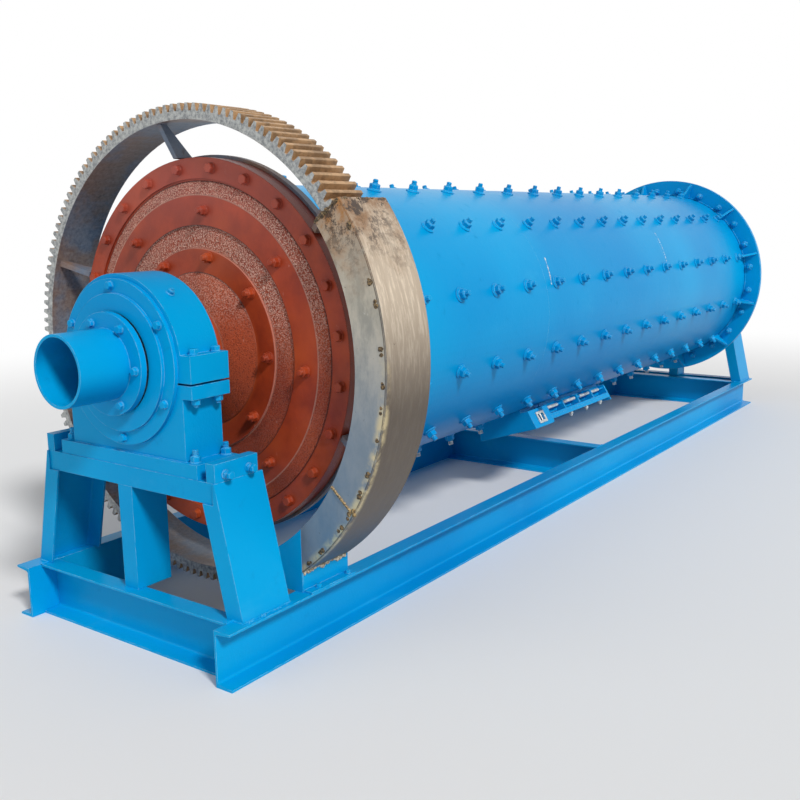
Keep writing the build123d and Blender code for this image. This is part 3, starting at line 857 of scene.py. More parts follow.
def thread_profile(radius: float, low: float, length: float,
                   pitch: float) -> list[tuple[float, float]]:
    """Profile of a standing thread with a chamfered end, for add_turned.

    Args:
        radius: Outer radius.
        low: Height of its foot.
        length: Length above the foot.
        pitch: Wished height of one turn.

    Returns:
        Radius and height of each point.
    """
    turns = max(2, round(length / pitch))
    rise = length / turns
    profile = [(0.0, low), (radius, low)]
    for index in range(turns - 1):
        start = low + (index + 1) * rise
        profile += [(radius, start - rise * 0.35), (radius * 0.86, start)]
    profile += [(radius, low + length - rise * 0.6), (radius * 0.8, low + length)]
    return profile + [(0.0, low + length)]


def add_rod(work: bmesh.types.BMesh, start: Vector, end: Vector, radius: float,
            edge: float = MM) -> None:
    """Adds a round bar with chamfered ends.

    Args:
        work: The mesh that grows.
        start: Middle of one end.
        end: Middle of the other end.
        radius: Radius of the bar.
        edge: Size of the chamfers.
    """
    before = set(work.verts)
    length = (end - start).length
    add_turned(work, [(0.0, 0.0), (radius - edge, 0.0), (radius, edge), (radius, length - edge),
                      (radius - edge, length), (0.0, length)], 12)
    fresh = [v for v in work.verts if v not in before]
    bmesh.ops.transform(work, matrix=seat(start, (end - start).normalized()), verts=fresh)


@dataclass(frozen=True)
class Bolt:
    """Hexagon bolt or nut on a washer, with a standing thread where it has one."""

    name: str
    across: float = 0.030
    head: float = 0.016
    washer: float = 0.021
    washer_plate: float = 0.004
    thread: float = 0.0
    thread_radius: float = 0.009
    thread_pitch: float = 0.005
    dished: bool = False
    sides: int = 18
    thread_sides: int = 12

    def build(self, work: bmesh.types.BMesh) -> None:
        """Fills a bmesh with the bolt, standing on zero along +Z.

        Args:
            work: An empty mesh.
        """
        plate, rim = self.washer_plate, self.washer
        edge, inner = (plate * 0.45, rim * 0.72) if self.dished else (plate * 0.7, rim * 0.95)
        add_turned(work, [(0, 0), (rim, 0), (rim, edge), (inner, plate), (0, plate)],
                   self.sides)
        top = plate + self.head
        add_hexagon(work, self.across, plate * 0.9, top)
        if self.thread:
            add_turned(work, thread_profile(self.thread_radius, top - MM, self.thread,
                                            self.thread_pitch), self.thread_sides)

    def pattern(self) -> bpy.types.Mesh:
        """Mesh of one bolt."""
        return pattern_of(self.name, self.build)


@dataclass(frozen=True)
class ThreadEnd(Bolt):
    """Pale end of a bolt's thread, over the painted one."""

    low: float = 0.036
    high: float = 0.053

    def build(self, work: bmesh.types.BMesh) -> None:
        """Fills a bmesh with the thread's end."""
        add_turned(work, thread_profile(self.thread_radius, self.low, self.high - self.low,
                                        self.thread_pitch), self.thread_sides)


@dataclass
class BoltSet:
    """Like bolts that make one piece, each on its own seat."""

    name: str
    bolt: Bolt
    body: Body
    slot: Optional[Slot] = Slot.BLUE
    seats: list[Matrix] = field(default_factory=list)

    def put(self, place: Vector, way: Vector) -> "BoltSet":
        """Adds a bolt at a place, pointing a way, turned at random about itself."""
        self.seats.append(seat(place, way, RNG.uniform(0.0, FULL_TURN)))
        return self

    def circle(self, x: float, way: float, radius: float, count: int,
               first: float) -> "BoltSet":
        """Adds a ring of bolts on a face across the mill axis.

        Args:
            x: Place of the face along the mill.
            way: -1 for a face towards the feed end, 1 towards the discharge end.
            radius: Radius of the ring.
            count: Number of bolts.
            first: Angle of the first one.

        Returns:
            The set itself.
        """
        for index in range(count):
            self.put(round_axis(x, radius, first + index * FULL_TURN / count), ALONG * way)
        return self

    def make(self, finish: bpy.types.Material) -> None:
        """Builds the set as one piece.

        Args:
            finish: Material of the piece.
        """
        work = bmesh.new()
        pattern = self.bolt.pattern()
        for where in self.seats:
            stamp(work, pattern, where)
        piece(self.name, work, finish, self.body)


def add_bead(work: bmesh.types.BMesh, places: Sequence[Vector], size: float) -> None:
    """Adds a weld bead: a closed rippled rope through a row of places.

    Args:
        work: The mesh that grows.
        places: Places along the seam.
        size: Radius of the bead.
    """
    way = (places[1] - places[0]).normalized()
    made = bmesh.ops.create_circle(work, cap_ends=True, segments=6, radius=size,
                                   matrix=seat(places[0], way))
    ring = made["verts"]
    edges = list(dict.fromkeys(e for v in ring for e in v.link_edges))
    for index in range(1, len(places)):
        grown = bmesh.ops.extrude_edge_only(work, edges=edges)
        ring = [g for g in grown["geom"] if isinstance(g, bmesh.types.BMVert)]
        edges = [g for g in grown["geom"] if isinstance(g, bmesh.types.BMEdge)]
        edges = [e for e in edges if e.verts[0] in ring and e.verts[1] in ring]
        shift = places[index] - places[index - 1]
        bmesh.ops.translate(work, vec=shift, verts=ring)
        ahead = (places[min(index + 1, len(places) - 1)] - places[index - 1]).normalized()
        bmesh.ops.rotate(work, cent=places[index], verts=ring,
                         matrix=way.rotation_difference(ahead).to_matrix())
        way = ahead
        target = size * (1.0 if index % 2 else 0.78) * RNG.uniform(0.88, 1.1)
        now = (ring[0].co - places[index]).length
        bmesh.ops.scale(work, vec=(target / now,) * 3, verts=ring,
                        space=Matrix.Translation(-places[index]))
    bmesh.ops.contextual_create(work, geom=edges)


def straight(start: Vector, end: Vector, pitch: float = 0.008) -> list[Vector]:
    """Places along a straight seam."""
    count = max(2, round((end - start).length / pitch))
    return [start.lerp(end, index / count) for index in range(count + 1)]


def curved(x: float, radius: float, first: float, last: float,
           pitch: float = 0.014) -> list[Vector]:
    """Places along a seam round the mill axis.

    Args:
        x: Place along the mill.
        radius: Radius of the seam.
        first: Angle where it starts.
        last: Angle where it ends.
        pitch: Wished step between places.

    Returns:
        The places.
    """
    count = max(2, round(abs(math.radians(last - first)) * radius / pitch))
    return [round_axis(x, radius, first + (last - first) * index / count)
            for index in range(count + 1)]


def add_blob(work: bmesh.types.BMesh, place: Vector, way: Vector, size: float,
             flat: float = 0.5) -> None:
    """Adds a lump of weld metal, flattened against its seat.

    Args:
        work: The mesh that grows.
        place: Middle of the lump.
        way: Direction away from the seat.
        size: Radius of the lump.
        flat: Its height as a share of its radius.
    """
    made = bmesh.ops.create_icosphere(work, subdivisions=2, radius=size)
    bumps = RNG.uniform(0.0, 50.0)
    for spot in made["verts"]:
        lift = noise.noise(spot.co / size * 1.3 + Vector((bumps, 0.0, 0.0)))
        spot.co *= 1.0 + 0.45 * lift
        spot.co.z *= flat
    bmesh.ops.transform(work, matrix=seat(place, way), verts=made["verts"])


@dataclass
class Bearing:
    """Fixings of one trunnion bearing and its spout."""

    end: str
    way: float
    ring_count: int = 6
    cover_ring: tuple[float, float] = (0.2645, 28.0)
    spout_ring: tuple[float, float] = (0.1515, 5.0)
    cover_plate: float = 0.016
    spout_flange: float = 0.024
    lug_height: float = 0.093
    lug_inset: float = 0.021
    lug_step: float = 0.050
    sole_plate: float = 0.050
    sole_inset: float = 0.033
    sole_step: float = 0.070
    jack_step: float = 0.054
    jack_rise: float = 0.024
    jack_radius: float = 0.0085
    jack_across: float = 0.026
    plug_shift: float = -0.015
    plug_angle: float = 128.5

    def __post_init__(self) -> None:
        """Reads the housing's places from the frame."""
        self.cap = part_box(self.end + "_bearing_cap")
        self.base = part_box(self.end + "_bearing_base")
        self.middle = (self.cap[0].x + self.cap[1].x) / 2
        self.half = (self.cap[1].x - self.cap[0].x) / 2

    def four(self, step: float, reach: float) -> list[tuple[float, float]]:
        """Places of four fixings: a step off the middle each way, on both sides."""
        return [(self.middle + hand * step, side * reach) for side in (-1, 1) for hand in (-1, 1)]

    def rings(self, shop: Paintshop) -> None:
        """Bolts through the end cover and through the spout's flange.

        Args:
            shop: The finishes.
        """
        small = Bolt("cover_bolt", across=0.026, head=0.013, washer=0.0165, washer_plate=0.003)
        cover = self.middle + self.way * (self.half + self.cover_plate)
        flange = span(self.end + "_spout", 0)[1 if self.way < 0 else 0]
        for name, body, x, (radius, first) in (
                ("cover", Body.BASE, cover, self.cover_ring),
                ("spout", Body.DRUM, flange + self.way * self.spout_flange, self.spout_ring)):
            BoltSet(f"{self.end}_{name}_bolts", small, body).circle(
                x, self.way, radius, self.ring_count, first).make(shop.blue)

    def cap_bolts(self, shop: Paintshop) -> None:
        """Bolts down through the lugs of the cap and the base, with nuts below.

        Args:
            shop: The finishes.
        """
        bolts = BoltSet(self.end + "_cap_bolts",
                        Bolt("cap_bolt", across=0.028, head=0.016, washer=0.018), Body.BASE)
        nuts = BoltSet(self.end + "_cap_nuts",
                       Bolt("cap_nut", across=0.028, head=0.018, washer=0.018, thread=0.010),
                       Body.BASE)
        top = self.cap[0].z + self.lug_height
        under = self.base[1].z - self.lug_height / 2
        for x, y in self.four(self.lug_step, self.cap[1].y - self.lug_inset):
            bolts.put(Vector((x, y, top)), UP)
            nuts.put(Vector((x, y, under)), -UP)
        bolts.make(shop.blue)
        nuts.make(shop.blue)

    def sole_studs(self, shop: Paintshop) -> None:
        """Studs with nuts that hold the sole plate to the pedestal.

        Args:
            shop: The finishes.
        """
        studs = BoltSet(self.end + "_sole_studs",
                        Bolt("sole_stud", across=0.032, head=0.020, washer=0.022,
                             thread=0.022, thread_radius=0.0105), Body.BASE)
        top = self.base[0].z + self.sole_plate
        for x, y in self.four(self.sole_step, self.base[1].y - self.sole_inset):
            studs.put(Vector((x, y, top)), UP)
        studs.make(shop.blue)

    def jack_screws(self, shop: Paintshop) -> None:
        """Screws through the stop bars that push the sole plate into line.

        Args:
            shop: The finishes.
        """
        outer = span("bearing_chocks", 1)[1]
        reach = outer - self.base[1].y

        def build(work: bmesh.types.BMesh) -> None:
            """Screw with its lock nut on the bar, its shank running to the sole.

            Args:
                work: An empty mesh.
            """
            add_turned(work, [(0, 0), (0.017, 0), (0.017, 0.003), (0, 0.003)], 18)
            add_hexagon(work, self.jack_across, 0.002, 0.013)
            add_turned(work, thread_profile(self.jack_radius, 0.012, 0.010, 0.005), 12)
            add_hexagon(work, self.jack_across, 0.020, 0.034)
            add_turned(work, thread_profile(self.jack_radius, -reach, reach + MM, 0.006), 12)

        pattern = pattern_of("jack_screw", build)
        work = bmesh.new()
        height = span("bearing_chocks", 2)[0] + self.jack_rise
        for x, y in self.four(self.jack_step, outer):
            stamp(work, pattern, seat(Vector((x, y, height)), ACROSS if y > 0 else -ACROSS))
        piece(self.end + "_jack_screws", work, shop.blue, Body.BASE)

    def grease_plug(self, shop: Paintshop) -> None:
        """Plug on the barrel of the cap, over the journal.

        Args:
            shop: The finishes.
        """
        plug = Bolt("grease_plug", across=0.022, head=0.012, washer=0.016, washer_plate=0.004,
                    thread=0.008, thread_radius=0.006)
        place = round_axis(self.middle - self.way * self.plug_shift,
                           self.cap[1].z - AXIS_Z - MM, self.plug_angle)
        BoltSet(self.end + "_grease_plug", plug, Body.BASE).put(
            place, outwards(self.plug_angle)).make(shop.blue)

    def make(self, shop: Paintshop) -> None:
        """Builds the bearing's fixings.

        Args:
            shop: The finishes.
        """
        for build in (self.rings, self.cap_bolts, self.sole_studs, self.jack_screws,
                      self.grease_plug):
            build(shop)


@dataclass
class DrumHead:
    """Bolts of one drum head: flange bolts and the two circles of liner studs."""

    end: str
    face: float
    way: float
    flange_radius: float = OUTER_FLANGE_RADIUS

    def make(self, shop: Paintshop) -> None:
        """Builds the head's bolts.

        Args:
            shop: The finishes.
        """
        bolt = Bolt("head_bolt", across=0.033, head=0.017, washer=0.0205)
        stud = Bolt("head_stud", across=0.032, head=0.020, washer=0.021, washer_plate=0.004,
                    thread=0.014, thread_radius=0.0115, thread_pitch=0.0045)
        for name, kind, rise, radius, (count, first) in (
                ("bolts", bolt, 0.0, self.flange_radius, FLANGE_BOLTS),
                ("outer_studs", stud, 7 * MM, 0.515, (8, 5.0)),
                ("inner_studs", stud, 14 * MM, 0.35, (9, 101.0))):
            BoltSet(f"{self.end}_head_{name}", kind, Body.DRUM, Slot.RED).circle(
                self.face + self.way * rise, self.way, radius, count, first).make(shop.red)


@dataclass
class Shell:
    """Bolts, seams and scratches of the drum's shell and its flanges."""

    rows: int = 12
    first_row: float = 15.0
    columns: int = 16
    pitch: float = 0.2915
    first_column: float = -2.221
    manhole_margin: float = 0.03
    flange_plate: float = 0.030
    seam: float = 0.005
    pale_row: float = 255.0
    flecks: int = 15
    fleck_sizes: tuple[float, float] = (0.003, 0.0055)
    scratch_lines: tuple[tuple[tuple[float, float], tuple[float, float]], ...] = (
        ((-0.795, 153.4), (-0.811, 166.1)), ((0.777, 143.9), (0.758, 162.3)))
    bolt: Bolt = Bolt("liner_bolt", across=0.041, head=0.021, washer=0.032, washer_plate=0.009,
                      thread=0.020, thread_radius=0.0125, thread_pitch=0.010, dished=True,
                      sides=12, thread_sides=8)
    pale_end: Bolt = ThreadEnd("thread_end", thread_radius=0.0131, thread_pitch=0.0045)

    def __post_init__(self) -> None:
        """Reads the flanges' inner faces from the frame."""
        self.flange_back = span("discharge_flange", 0)[1] - self.flange_plate
        self.hub_back = span("girth_gear_spider", 0)[1]

    def scratches(self, shop: Paintshop) -> None:
        """Flecks of pale paint along two scratches on the guarded side.

        Args:
            shop: The finishes.
        """
        work = bmesh.new()
        for (start_x, start_angle), (end_x, end_angle) in self.scratch_lines:
            for step in range(self.flecks):
                share = (step + RNG.uniform(-0.3, 0.3)) / self.flecks
                angle = start_angle + share * (end_angle - start_angle)
                place = round_axis(start_x + share * (end_x - start_x), SHELL_RADIUS, angle)
                add_blob(work, place, outwards(angle), RNG.uniform(*self.fleck_sizes), 0.15)
        piece("shell_scratches", work, shop.zinc, Body.DRUM)

    def liner_bolts(self, shop: Paintshop) -> None:
        """Rows of nuts on dished washers, with none under the manhole.

        Args:
            shop: The finishes.
        """
        low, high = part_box("manhole_frame")
        bolts = BoltSet("liner_bolts", self.bolt, Body.DRUM)
        ends = BoltSet("pale_thread_ends", self.pale_end, Body.DRUM, None)
        for row in range(self.rows):
            angle = self.first_row + row * FULL_TURN / self.rows
            for column in range(self.columns):
                x = self.first_column + column * self.pitch
                spot = round_axis(x, SHELL_RADIUS, angle)
                beside = low.x - self.manhole_margin < x < high.x + self.manhole_margin
                if beside and low.y < spot.y < high.y and spot.z < AXIS_Z:
                    continue
                bolts.put(spot, outwards(angle))
                # One row gets pale ends on its threads.
                if angle == self.pale_row:
                    ends.put(spot, outwards(angle))
        bolts.make(shop.blue)
        ends.make(shop.zinc)

    def flange_nuts(self, shop: Paintshop) -> None:
        """Nuts inside the discharge flange and behind the gear's hub ring.

        Args:
            shop: The finishes.
        """
        nut = Bolt("flange_nut", across=0.036, head=0.020, washer=0.023, thread=0.014,
                   thread_radius=0.011)
        BoltSet("discharge_flange_nuts", nut, Body.DRUM).circle(
            self.flange_back, -1.0, INNER_FLANGE_RADIUS, *FLANGE_BOLTS).make(shop.blue)
        BoltSet("hub_ring_nuts", nut, Body.DRUM, Slot.GEAR).circle(
            self.hub_back, 1.0, OUTER_FLANGE_RADIUS, *FLANGE_BOLTS).make(shop.gear)

    def seams(self, shop: Paintshop) -> None:
        """Fillet welds where the discharge flange and the hub ring meet the shell.

        Args:
            shop: The finishes.
        """
        work = bmesh.new()
        for x in (self.flange_back - self.seam, self.hub_back + self.seam):
            add_bead(work, curved(x, SHELL_RADIUS + self.seam, 0.0, FULL_TURN + 1.0), self.seam)
        piece("shell_seams", work, shop.blue, Body.DRUM)

    def make(self, shop: Paintshop) -> None:
        """Builds the shell's scratches, bolts and seams.

        Args:
            shop: The finishes.
        """
        for build in (self.scratches, self.liner_bolts, self.flange_nuts, self.seams):
            build(shop)


@dataclass
class GearGuard:
    """Weld marks, cut end and foot bolts of the gear guard."""

    first_angle: float = 144.0
    seam_angle: float = 211.0
    seam_lean: float = 1.5
    plate_width: float = 0.126
    lumps_at_seam: int = 7
    lumps_on_front: int = 26
    lumps_on_hoop: int = 44
    lumps_on_foot: int = 34
    foot_bolt_shares: tuple[float, float] = (0.22, 0.88)
    foot_bolt_inset: float = 0.015
    foot_plate: float = 0.007
    tacks: tuple[float, ...] = (150.0, 161.5, 167.0, 176.0, 182.5, 188.0, 194.5, 202.0, 208.0,
                                213.5, 218.0, 226.0, 231.0)

    def __post_init__(self) -> None:
        """Reads the guard's places from the frame."""
        low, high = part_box("gear_guard_hoop")
        self.front = span("gear_guard_plate", 0)[0]
        self.back = high.x
        self.outer = -low.y
        self.inner = self.outer - self.plate_width

    def tack_welds(self, shop: Paintshop) -> None:
        """Tacks along the joint of the front sheet and the hoop.

        Args:
            shop: The finishes.
        """
        work = bmesh.new()
        for angle in self.tacks:
            for _ in range(RNG.randint(2, 4)):
                spread = RNG.uniform(-0.9, 0.9)
                place = round_axis(self.front + MM, self.outer - RNG.uniform(0.012, 0.017),
                                   angle + spread)
                add_blob(work, place, -ALONG, RNG.uniform(0.006, 0.011), 0.45)
        piece("guard_tack_welds", work, shop.tack, Body.BASE)

    def butt_seam(self, shop: Paintshop) -> None:
        """Radial weld across the front sheet, with lumps at its outer end.

        Args:
            shop: The finishes.
        """
        work = bmesh.new()
        start = round_axis(self.front, self.inner + 2 * MM, self.seam_angle)
        end = round_axis(self.front, self.outer - 12 * MM, self.seam_angle + self.seam_lean)
        add_bead(work, straight(start, end), 0.006)
        for _ in range(self.lumps_at_seam):
            shift = Vector((-MM, RNG.uniform(-0.012, 0.012), RNG.uniform(-0.010, 0.014)))
            add_blob(work, end + shift, -ALONG, RNG.uniform(0.006, 0.010), 0.45)
        piece("guard_butt_seam", work, shop.weld, Body.BASE)

    def cut_end(self, shop: Paintshop) -> None:
        """Slag along the flame-cut upper end of the front sheet and the hoop.

        Args:
            shop: The finishes.
        """
        work = bmesh.new()
        angle = self.first_angle + 0.25
        for step in range(self.lumps_on_front):
            share = step / (self.lumps_on_front - 1)
            radius = self.inner + share * (self.outer - self.inner - 8 * MM)
            add_blob(work, round_axis(self.front + 3 * MM, radius, angle), -ALONG,
                     RNG.uniform(0.004, 0.011), 0.8)
        for step in range(self.lumps_on_hoop):
            share = step / (self.lumps_on_hoop - 1)
            x = self.front + 6 * MM + share * (self.back - self.front - 12 * MM)
            add_blob(work, round_axis(x, self.outer - 5 * MM, angle),
                     outwards(self.first_angle), RNG.uniform(0.004, 0.009), 0.8)
        piece("guard_cut_end_slag", work, shop.tack, Body.BASE)

    def foot_lumps(self, shop: Paintshop) -> None:
        """Cream weld lumps where the hoop's lower end meets the foot.

        Args:
            shop: The finishes.
        """
        low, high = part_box("gear_guard_foot")
        face = span("gear_guard_hoop", 1)[1] - MM
        work = bmesh.new()
        way = Vector((0.0, -1.0, 0.5)).normalized()
        for step in range(self.lumps_on_foot):
            share = 0.02 + 0.92 * step / (self.lumps_on_foot - 1)
            place = Vector((low.x + share * (high.x - low.x), face,
                            high.z + RNG.uniform(-0.012, 0.006)))
            add_blob(work, place, way, RNG.uniform(0.005, 0.0105), 0.7)
        piece("guard_foot_lumps", work, shop.slag, Body.BASE)

    def foot_bolts(self, shop: Paintshop) -> None:
        """Two bolts through the foot angle into the rail.

        Args:
            shop: The finishes.
        """
        low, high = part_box("gear_guard_foot")
        bolts = BoltSet("guard_foot_bolts", Bolt("foot_bolt", across=0.019, head=0.010,
                                                 washer=0.012, washer_plate=0.002), Body.BASE)
        for share in self.foot_bolt_shares:
            bolts.put(Vector((low.x + share * (high.x - low.x), low.y + self.foot_bolt_inset,
                              low.z + self.foot_plate)), UP)
        bolts.make(shop.blue)

    def make(self, shop: Paintshop) -> None:
        """Builds the guard's marks and bolts.

        Args:
            shop: The finishes.
        """
        for build in (self.tack_welds, self.butt_seam, self.cut_end, self.foot_lumps,
                      self.foot_bolts):
            build(shop)


@dataclass
class ManholeFittings:
    """Hinge rods with their sleeves, cover nuts and the catch in the hinge box."""

    angle: float = 252.0
    half_angle: float = 14.0
    rod_radius: float = 0.006
    sleeve_radius: float = 0.0095
    rod_height: float = 0.640
    rod_across: float = 0.143
    rod_start: float = 0.197
    rod_end: float = 0.012
    sleeves: tuple[tuple[float, float], ...] = ((-0.335, -0.205), (-0.146, 0.018),
                                                (0.085, 0.210), (0.232, 0.345))
    nuts: tuple[float, ...] = (-0.080, 0.120, 0.315)
    nut_across: float = 0.150
    cover_top: float = 0.704
    catch_x: float = -0.459
    catch_height: float = 0.6725
    catch_size: tuple[float, float] = (0.085, 0.066)
    catch_bar: float = 0.014
    catch_plate: float = 0.007
    catch_bolt: float = 0.024

    def spot(self, x: float, across: float, height: float) -> Vector:
        """Point at a place along the mill, across the manhole and above the axis."""
        return (Vector((x, 0.0, AXIS_Z)) + outwards(self.angle) * height
                + outwards(self.angle - 90.0) * across)

    def rods(self, shop: Paintshop) -> None:
        """A rod along each side, with pale sleeves between the ribs.

        Args:
            shop: The finishes.
        """
        low, high = span("manhole_frame", 0)
        whole = (low + self.rod_start, high + self.rod_end)
        bars, covers = bmesh.new(), bmesh.new()
        for side in (1.0, -1.0):
            for work, (start, end), radius, edge in (
                    (bars, whole, self.rod_radius, MM),
                    *((covers, sleeve, self.sleeve_radius, 2 * MM) for sleeve in self.sleeves)):
                add_rod(work, self.spot(start, side * self.rod_across, self.rod_height),
                        self.spot(end, side * self.rod_across, self.rod_height), radius, edge)
        piece("manhole_rods", bars, shop.blue, Body.DRUM)
        piece("manhole_sleeves", covers, shop.zinc, Body.DRUM)

    def cover_nuts(self, shop: Paintshop) -> None:
        """Nuts along both edges of the cover.

        Args:
            shop: The finishes.
        """
        nuts = BoltSet("manhole_nuts", Bolt("manhole_nut", across=0.024, head=0.013, washer=0.015,
                                            washer_plate=0.003, thread=0.010,
                                            thread_radius=0.008), Body.DRUM, None)
        for side in (1.0, -1.0):
            for x in self.nuts:
                nuts.put(self.spot(x, side * self.nut_across, self.cover_top),
                         outwards(self.angle))
        nuts.make(shop.zinc)

    def catch_frame(self, work: bmesh.types.BMesh) -> None:
        """Adds the catch's square frame, flat on zero.

        Args:
            work: An empty mesh.
        """
        long, tall = (size / 2 for size in self.catch_size)
        rings = [[work.verts.new((x * (long - inset), y * (tall - inset), 0.0))
                  for x, y in ((-1, -1), (1, -1), (1, 1), (-1, 1))]
                 for inset in (0.0, self.catch_bar)]
        for index in range(4):
            after = (index + 1) % 4
            work.faces.new((rings[0][index], rings[0][after], rings[1][after], rings[1][index]))
        grown = bmesh.ops.extrude_face_region(work, geom=work.faces[:], use_keep_orig=True)
        raised = [g for g in grown["geom"] if isinstance(g, bmesh.types.BMVert)]
        bmesh.ops.translate(work, vec=(0.0, 0.0, self.catch_plate), verts=raised)
        rims = [e for e in work.edges if len(e.link_faces) == 2
                and e.calc_face_angle(0.0) > math.radians(60.0)]
        bmesh.ops.bevel(work, geom=rims, offset=1.5 * MM, offset_type="OFFSET", segments=2,
                        profile=0.5, affect="EDGES", material=-1)

    def catch(self, shop: Paintshop) -> None:
        """Square frame round the window of the hinge box, with a bolt across it.

        Args:
            shop: The finishes.
        """
        work = bmesh.new()
        self.catch_frame(work)
        side = self.angle - self.half_angle
        up = outwards(side)
        centre = round_axis(self.catch_x,
                            self.catch_height / math.cos(math.radians(self.half_angle)), side)
        turn = Matrix((ALONG, up, outwards(side - 90.0))).transposed().to_4x4()
        bmesh.ops.transform(work, matrix=Matrix.Translation(centre) @ turn, verts=work.verts)
        add_rod(work, centre - up * self.catch_bolt, centre + up * self.catch_bolt,
                self.rod_radius)
        piece("hinge_box_catch", work, shop.zinc, Body.DRUM)

    def make(self, shop: Paintshop) -> None:
        """Builds the manhole's fittings."""
        for build in (self.rods, self.cover_nuts, self.catch):
            build(shop)


@dataclass
class FrameWelds:
    """Painted weld beads where the legs and cross channels meet the rails."""

    size: float = 0.005
    channels: tuple[str, ...] = ("feed_end_channel", "middle_channel", "discharge_channel",
                                 "discharge_end_channel")
    drips: int = 22

    def beads(self, shop: Paintshop) -> None:
        """Beads round three sides of each sloped leg's foot, and over each crossing.

        Args:
            shop: The finishes.
        """
        work = bmesh.new()
        inner = span("rail_left", 1)[0]
        paths = []
        for end in ("feed", "discharge"):
            for hand, side in (("left", 1.0), ("right", -1.0)):
                low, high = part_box(f"{end}_pedestal_leg_{hand}")
                outer = high.y if side > 0 else low.y
                paths.append([(low.x, side * inner, low.z), (low.x, outer, low.z),
                              (high.x, outer, low.z), (high.x, side * inner, low.z)])
        for name in self.channels:
            low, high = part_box(name)
            paths += [[(low.x, side * inner, high.z), (high.x, side * inner, high.z)]
                      for side in (-1.0, 1.0)]
        for path in paths:
            for start, end in zip(path, path[1:]):
                add_bead(work, straight(Vector(start), Vector(end)), self.size)
        piece("frame_welds", work, shop.blue, Body.BASE)

    def spatter(self, shop: Paintshop) -> None:
        """Drips of weld metal at the foot of the feed leg on the guarded side.

        Args:
            shop: The finishes.
        """
        low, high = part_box("feed_pedestal_leg_right")
        work = bmesh.new()
        for _ in range(self.drips):
            x = RNG.uniform(low.x, high.x)
            place = Vector((x, low.y - RNG.uniform(0.0, 0.012), low.z))
            add_blob(work, place, UP, RNG.uniform(0.003, 0.007), 0.7)
        piece("leg_foot_spatter", work, shop.blue, Body.BASE)

    def make(self, shop: Paintshop) -> None:
        """Builds the frame's welds."""
        self.beads(shop)
        self.spatter(shop)


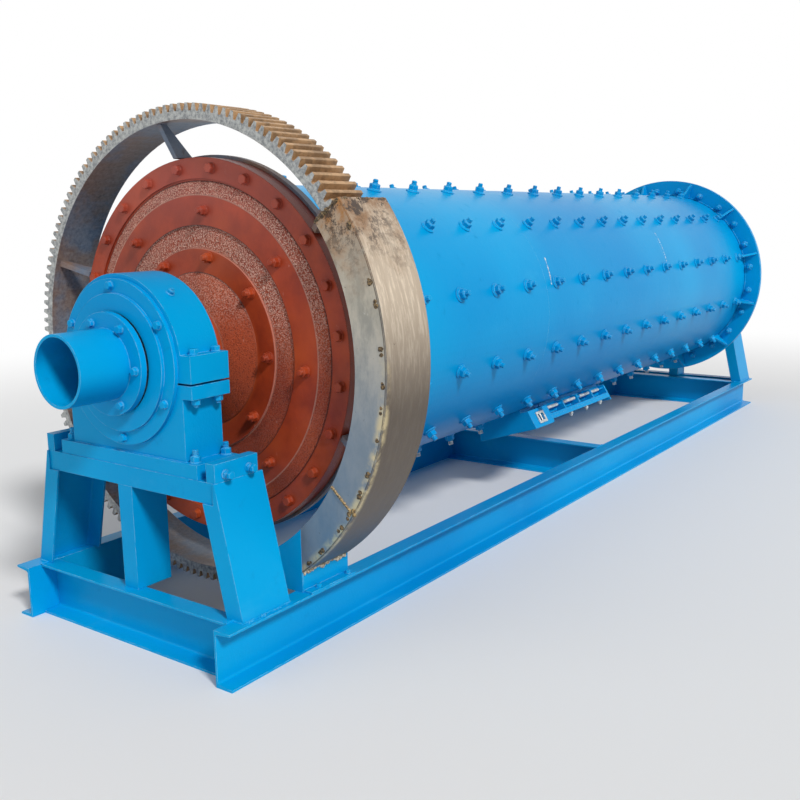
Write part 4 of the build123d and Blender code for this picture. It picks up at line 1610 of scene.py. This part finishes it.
@dataclass
class Studio:
    """Plain pale floor, soft light and the camera at the photograph's angle."""

    floor_half: float = 40.0
    fade: tuple[float, float] = (3.5, 8.0)
    sky: float = 0.34
    lamps: tuple[tuple[str, Point, float, float], ...] = (
        ("key", (-0.35, -0.80, 0.75), 2.3, 10.0), ("fill", (-0.9, 0.5, 0.6), 0.35, 60.0))
    camera_place: Point = (-4.999, -2.699, 1.497)
    yaw: float = 35.74
    pitch: float = 10.72
    roll: float = -0.88
    lens: float = 43.02
    sensor: float = 36.0
    clip_end: float = 200.0

    def floor(self) -> None:
        """Pale floor that fades to white far from the mill."""
        work = bmesh.new()
        bmesh.ops.create_grid(work, x_segments=2, y_segments=2, size=self.floor_half)
        mesh = bpy.data.meshes.new("floor")
        work.to_mesh(mesh)
        work.free()
        made = bpy.data.objects.new("floor", mesh)
        bpy.context.scene.collection.objects.link(made)
        board = Board.named("pale_floor")
        mesh.materials.append(board.finish(srgb("ECECEC"), 0.8))
        far = board.add("ShaderNodeVectorMath", operation="LENGTH")
        board.join(board.place(), far.inputs[0])
        faded = board.times(board.step(far.outputs["Value"], *self.fade), board.seen())
        white = board.add("ShaderNodeEmission").outputs[0]
        board.show(faded, board.surface.outputs[0], white, "Material Output")

    def world(self) -> None:
        """White to the camera and in reflections, a soft grey light otherwise."""
        world = bpy.data.worlds.new("studio")
        bpy.context.scene.world = world
        board = Board(world)
        soft, bright = board.nodes["Background"], board.add("ShaderNodeBackground")
        for light, strength in ((soft, self.sky), (bright, 1.0)):
            light.inputs["Color"].default_value = (1.0, 1.0, 1.0, 1.0)
            light.inputs["Strength"].default_value = strength
        board.show(board.seen(), soft.outputs[0], bright.outputs[0], "World Output")

    def lamp(self, name: str, way: Point, energy: float, spread: float) -> None:
        """Adds a soft sun that shines from a direction.

        Args:
            name: Name of the lamp.
            way: Direction from the mill to the lamp.
            energy: Strength.
            spread: Angle of the sun's disc in degrees.
        """
        light = bpy.data.lights.new(name, "SUN")
        light.energy = energy
        light.angle = math.radians(spread)
        made = bpy.data.objects.new(name, light)
        made.matrix_world = seat(Vector(way), Vector(way).normalized())
        bpy.context.scene.collection.objects.link(made)

    def camera(self) -> None:
        """Camera at the place fitted to the photograph."""
        yaw, pitch, roll = (math.radians(v) for v in (self.yaw, self.pitch, self.roll))
        ahead = Vector((math.cos(yaw) * math.cos(pitch), math.sin(yaw) * math.cos(pitch),
                        -math.sin(pitch)))
        right = ahead.cross(UP).normalized()
        over = right.cross(ahead)
        tilted = right * math.cos(roll) + over * math.sin(roll)
        upright = over * math.cos(roll) - right * math.sin(roll)
        lens = bpy.data.cameras.new("photo_camera")
        lens.sensor_fit = "HORIZONTAL"
        lens.sensor_width = self.sensor
        lens.lens = self.lens
        lens.clip_end = self.clip_end
        made = bpy.data.objects.new("photo_camera", lens)
        turn = Matrix((tilted, upright, -ahead)).transposed().to_4x4()
        made.matrix_world = Matrix.Translation(self.camera_place) @ turn
        bpy.context.scene.collection.objects.link(made)
        bpy.context.scene.camera = made

    def make(self) -> None:
        """Builds the studio."""
        bpy.context.scene.view_settings.view_transform = "Standard"
        self.floor()
        self.world()
        for lamp in self.lamps:
            self.lamp(*lamp)
        self.camera()


def main() -> None:
    """Builds every sub-assembly, the studio and the camera."""
    logging.basicConfig(level=logging.INFO)
    shop = Paintshop()
    shop.dress_nodes()
    Bearing("feed", -1.0).make(shop)
    Bearing("discharge", 1.0).make(shop)
    DrumHead("feed", span("feed_flange", 0)[0] - HEAD_PLATE, -1.0).make(shop)
    DrumHead("discharge", span("discharge_flange", 0)[1] + HEAD_PLATE, 1.0,
             INNER_FLANGE_RADIUS).make(shop)
    for fittings in (Shell(), GearGuard(), ManholeFittings(), FrameWelds()):
        fittings.make(shop)
    Studio().make()


if __name__ == "__main__":
    main()
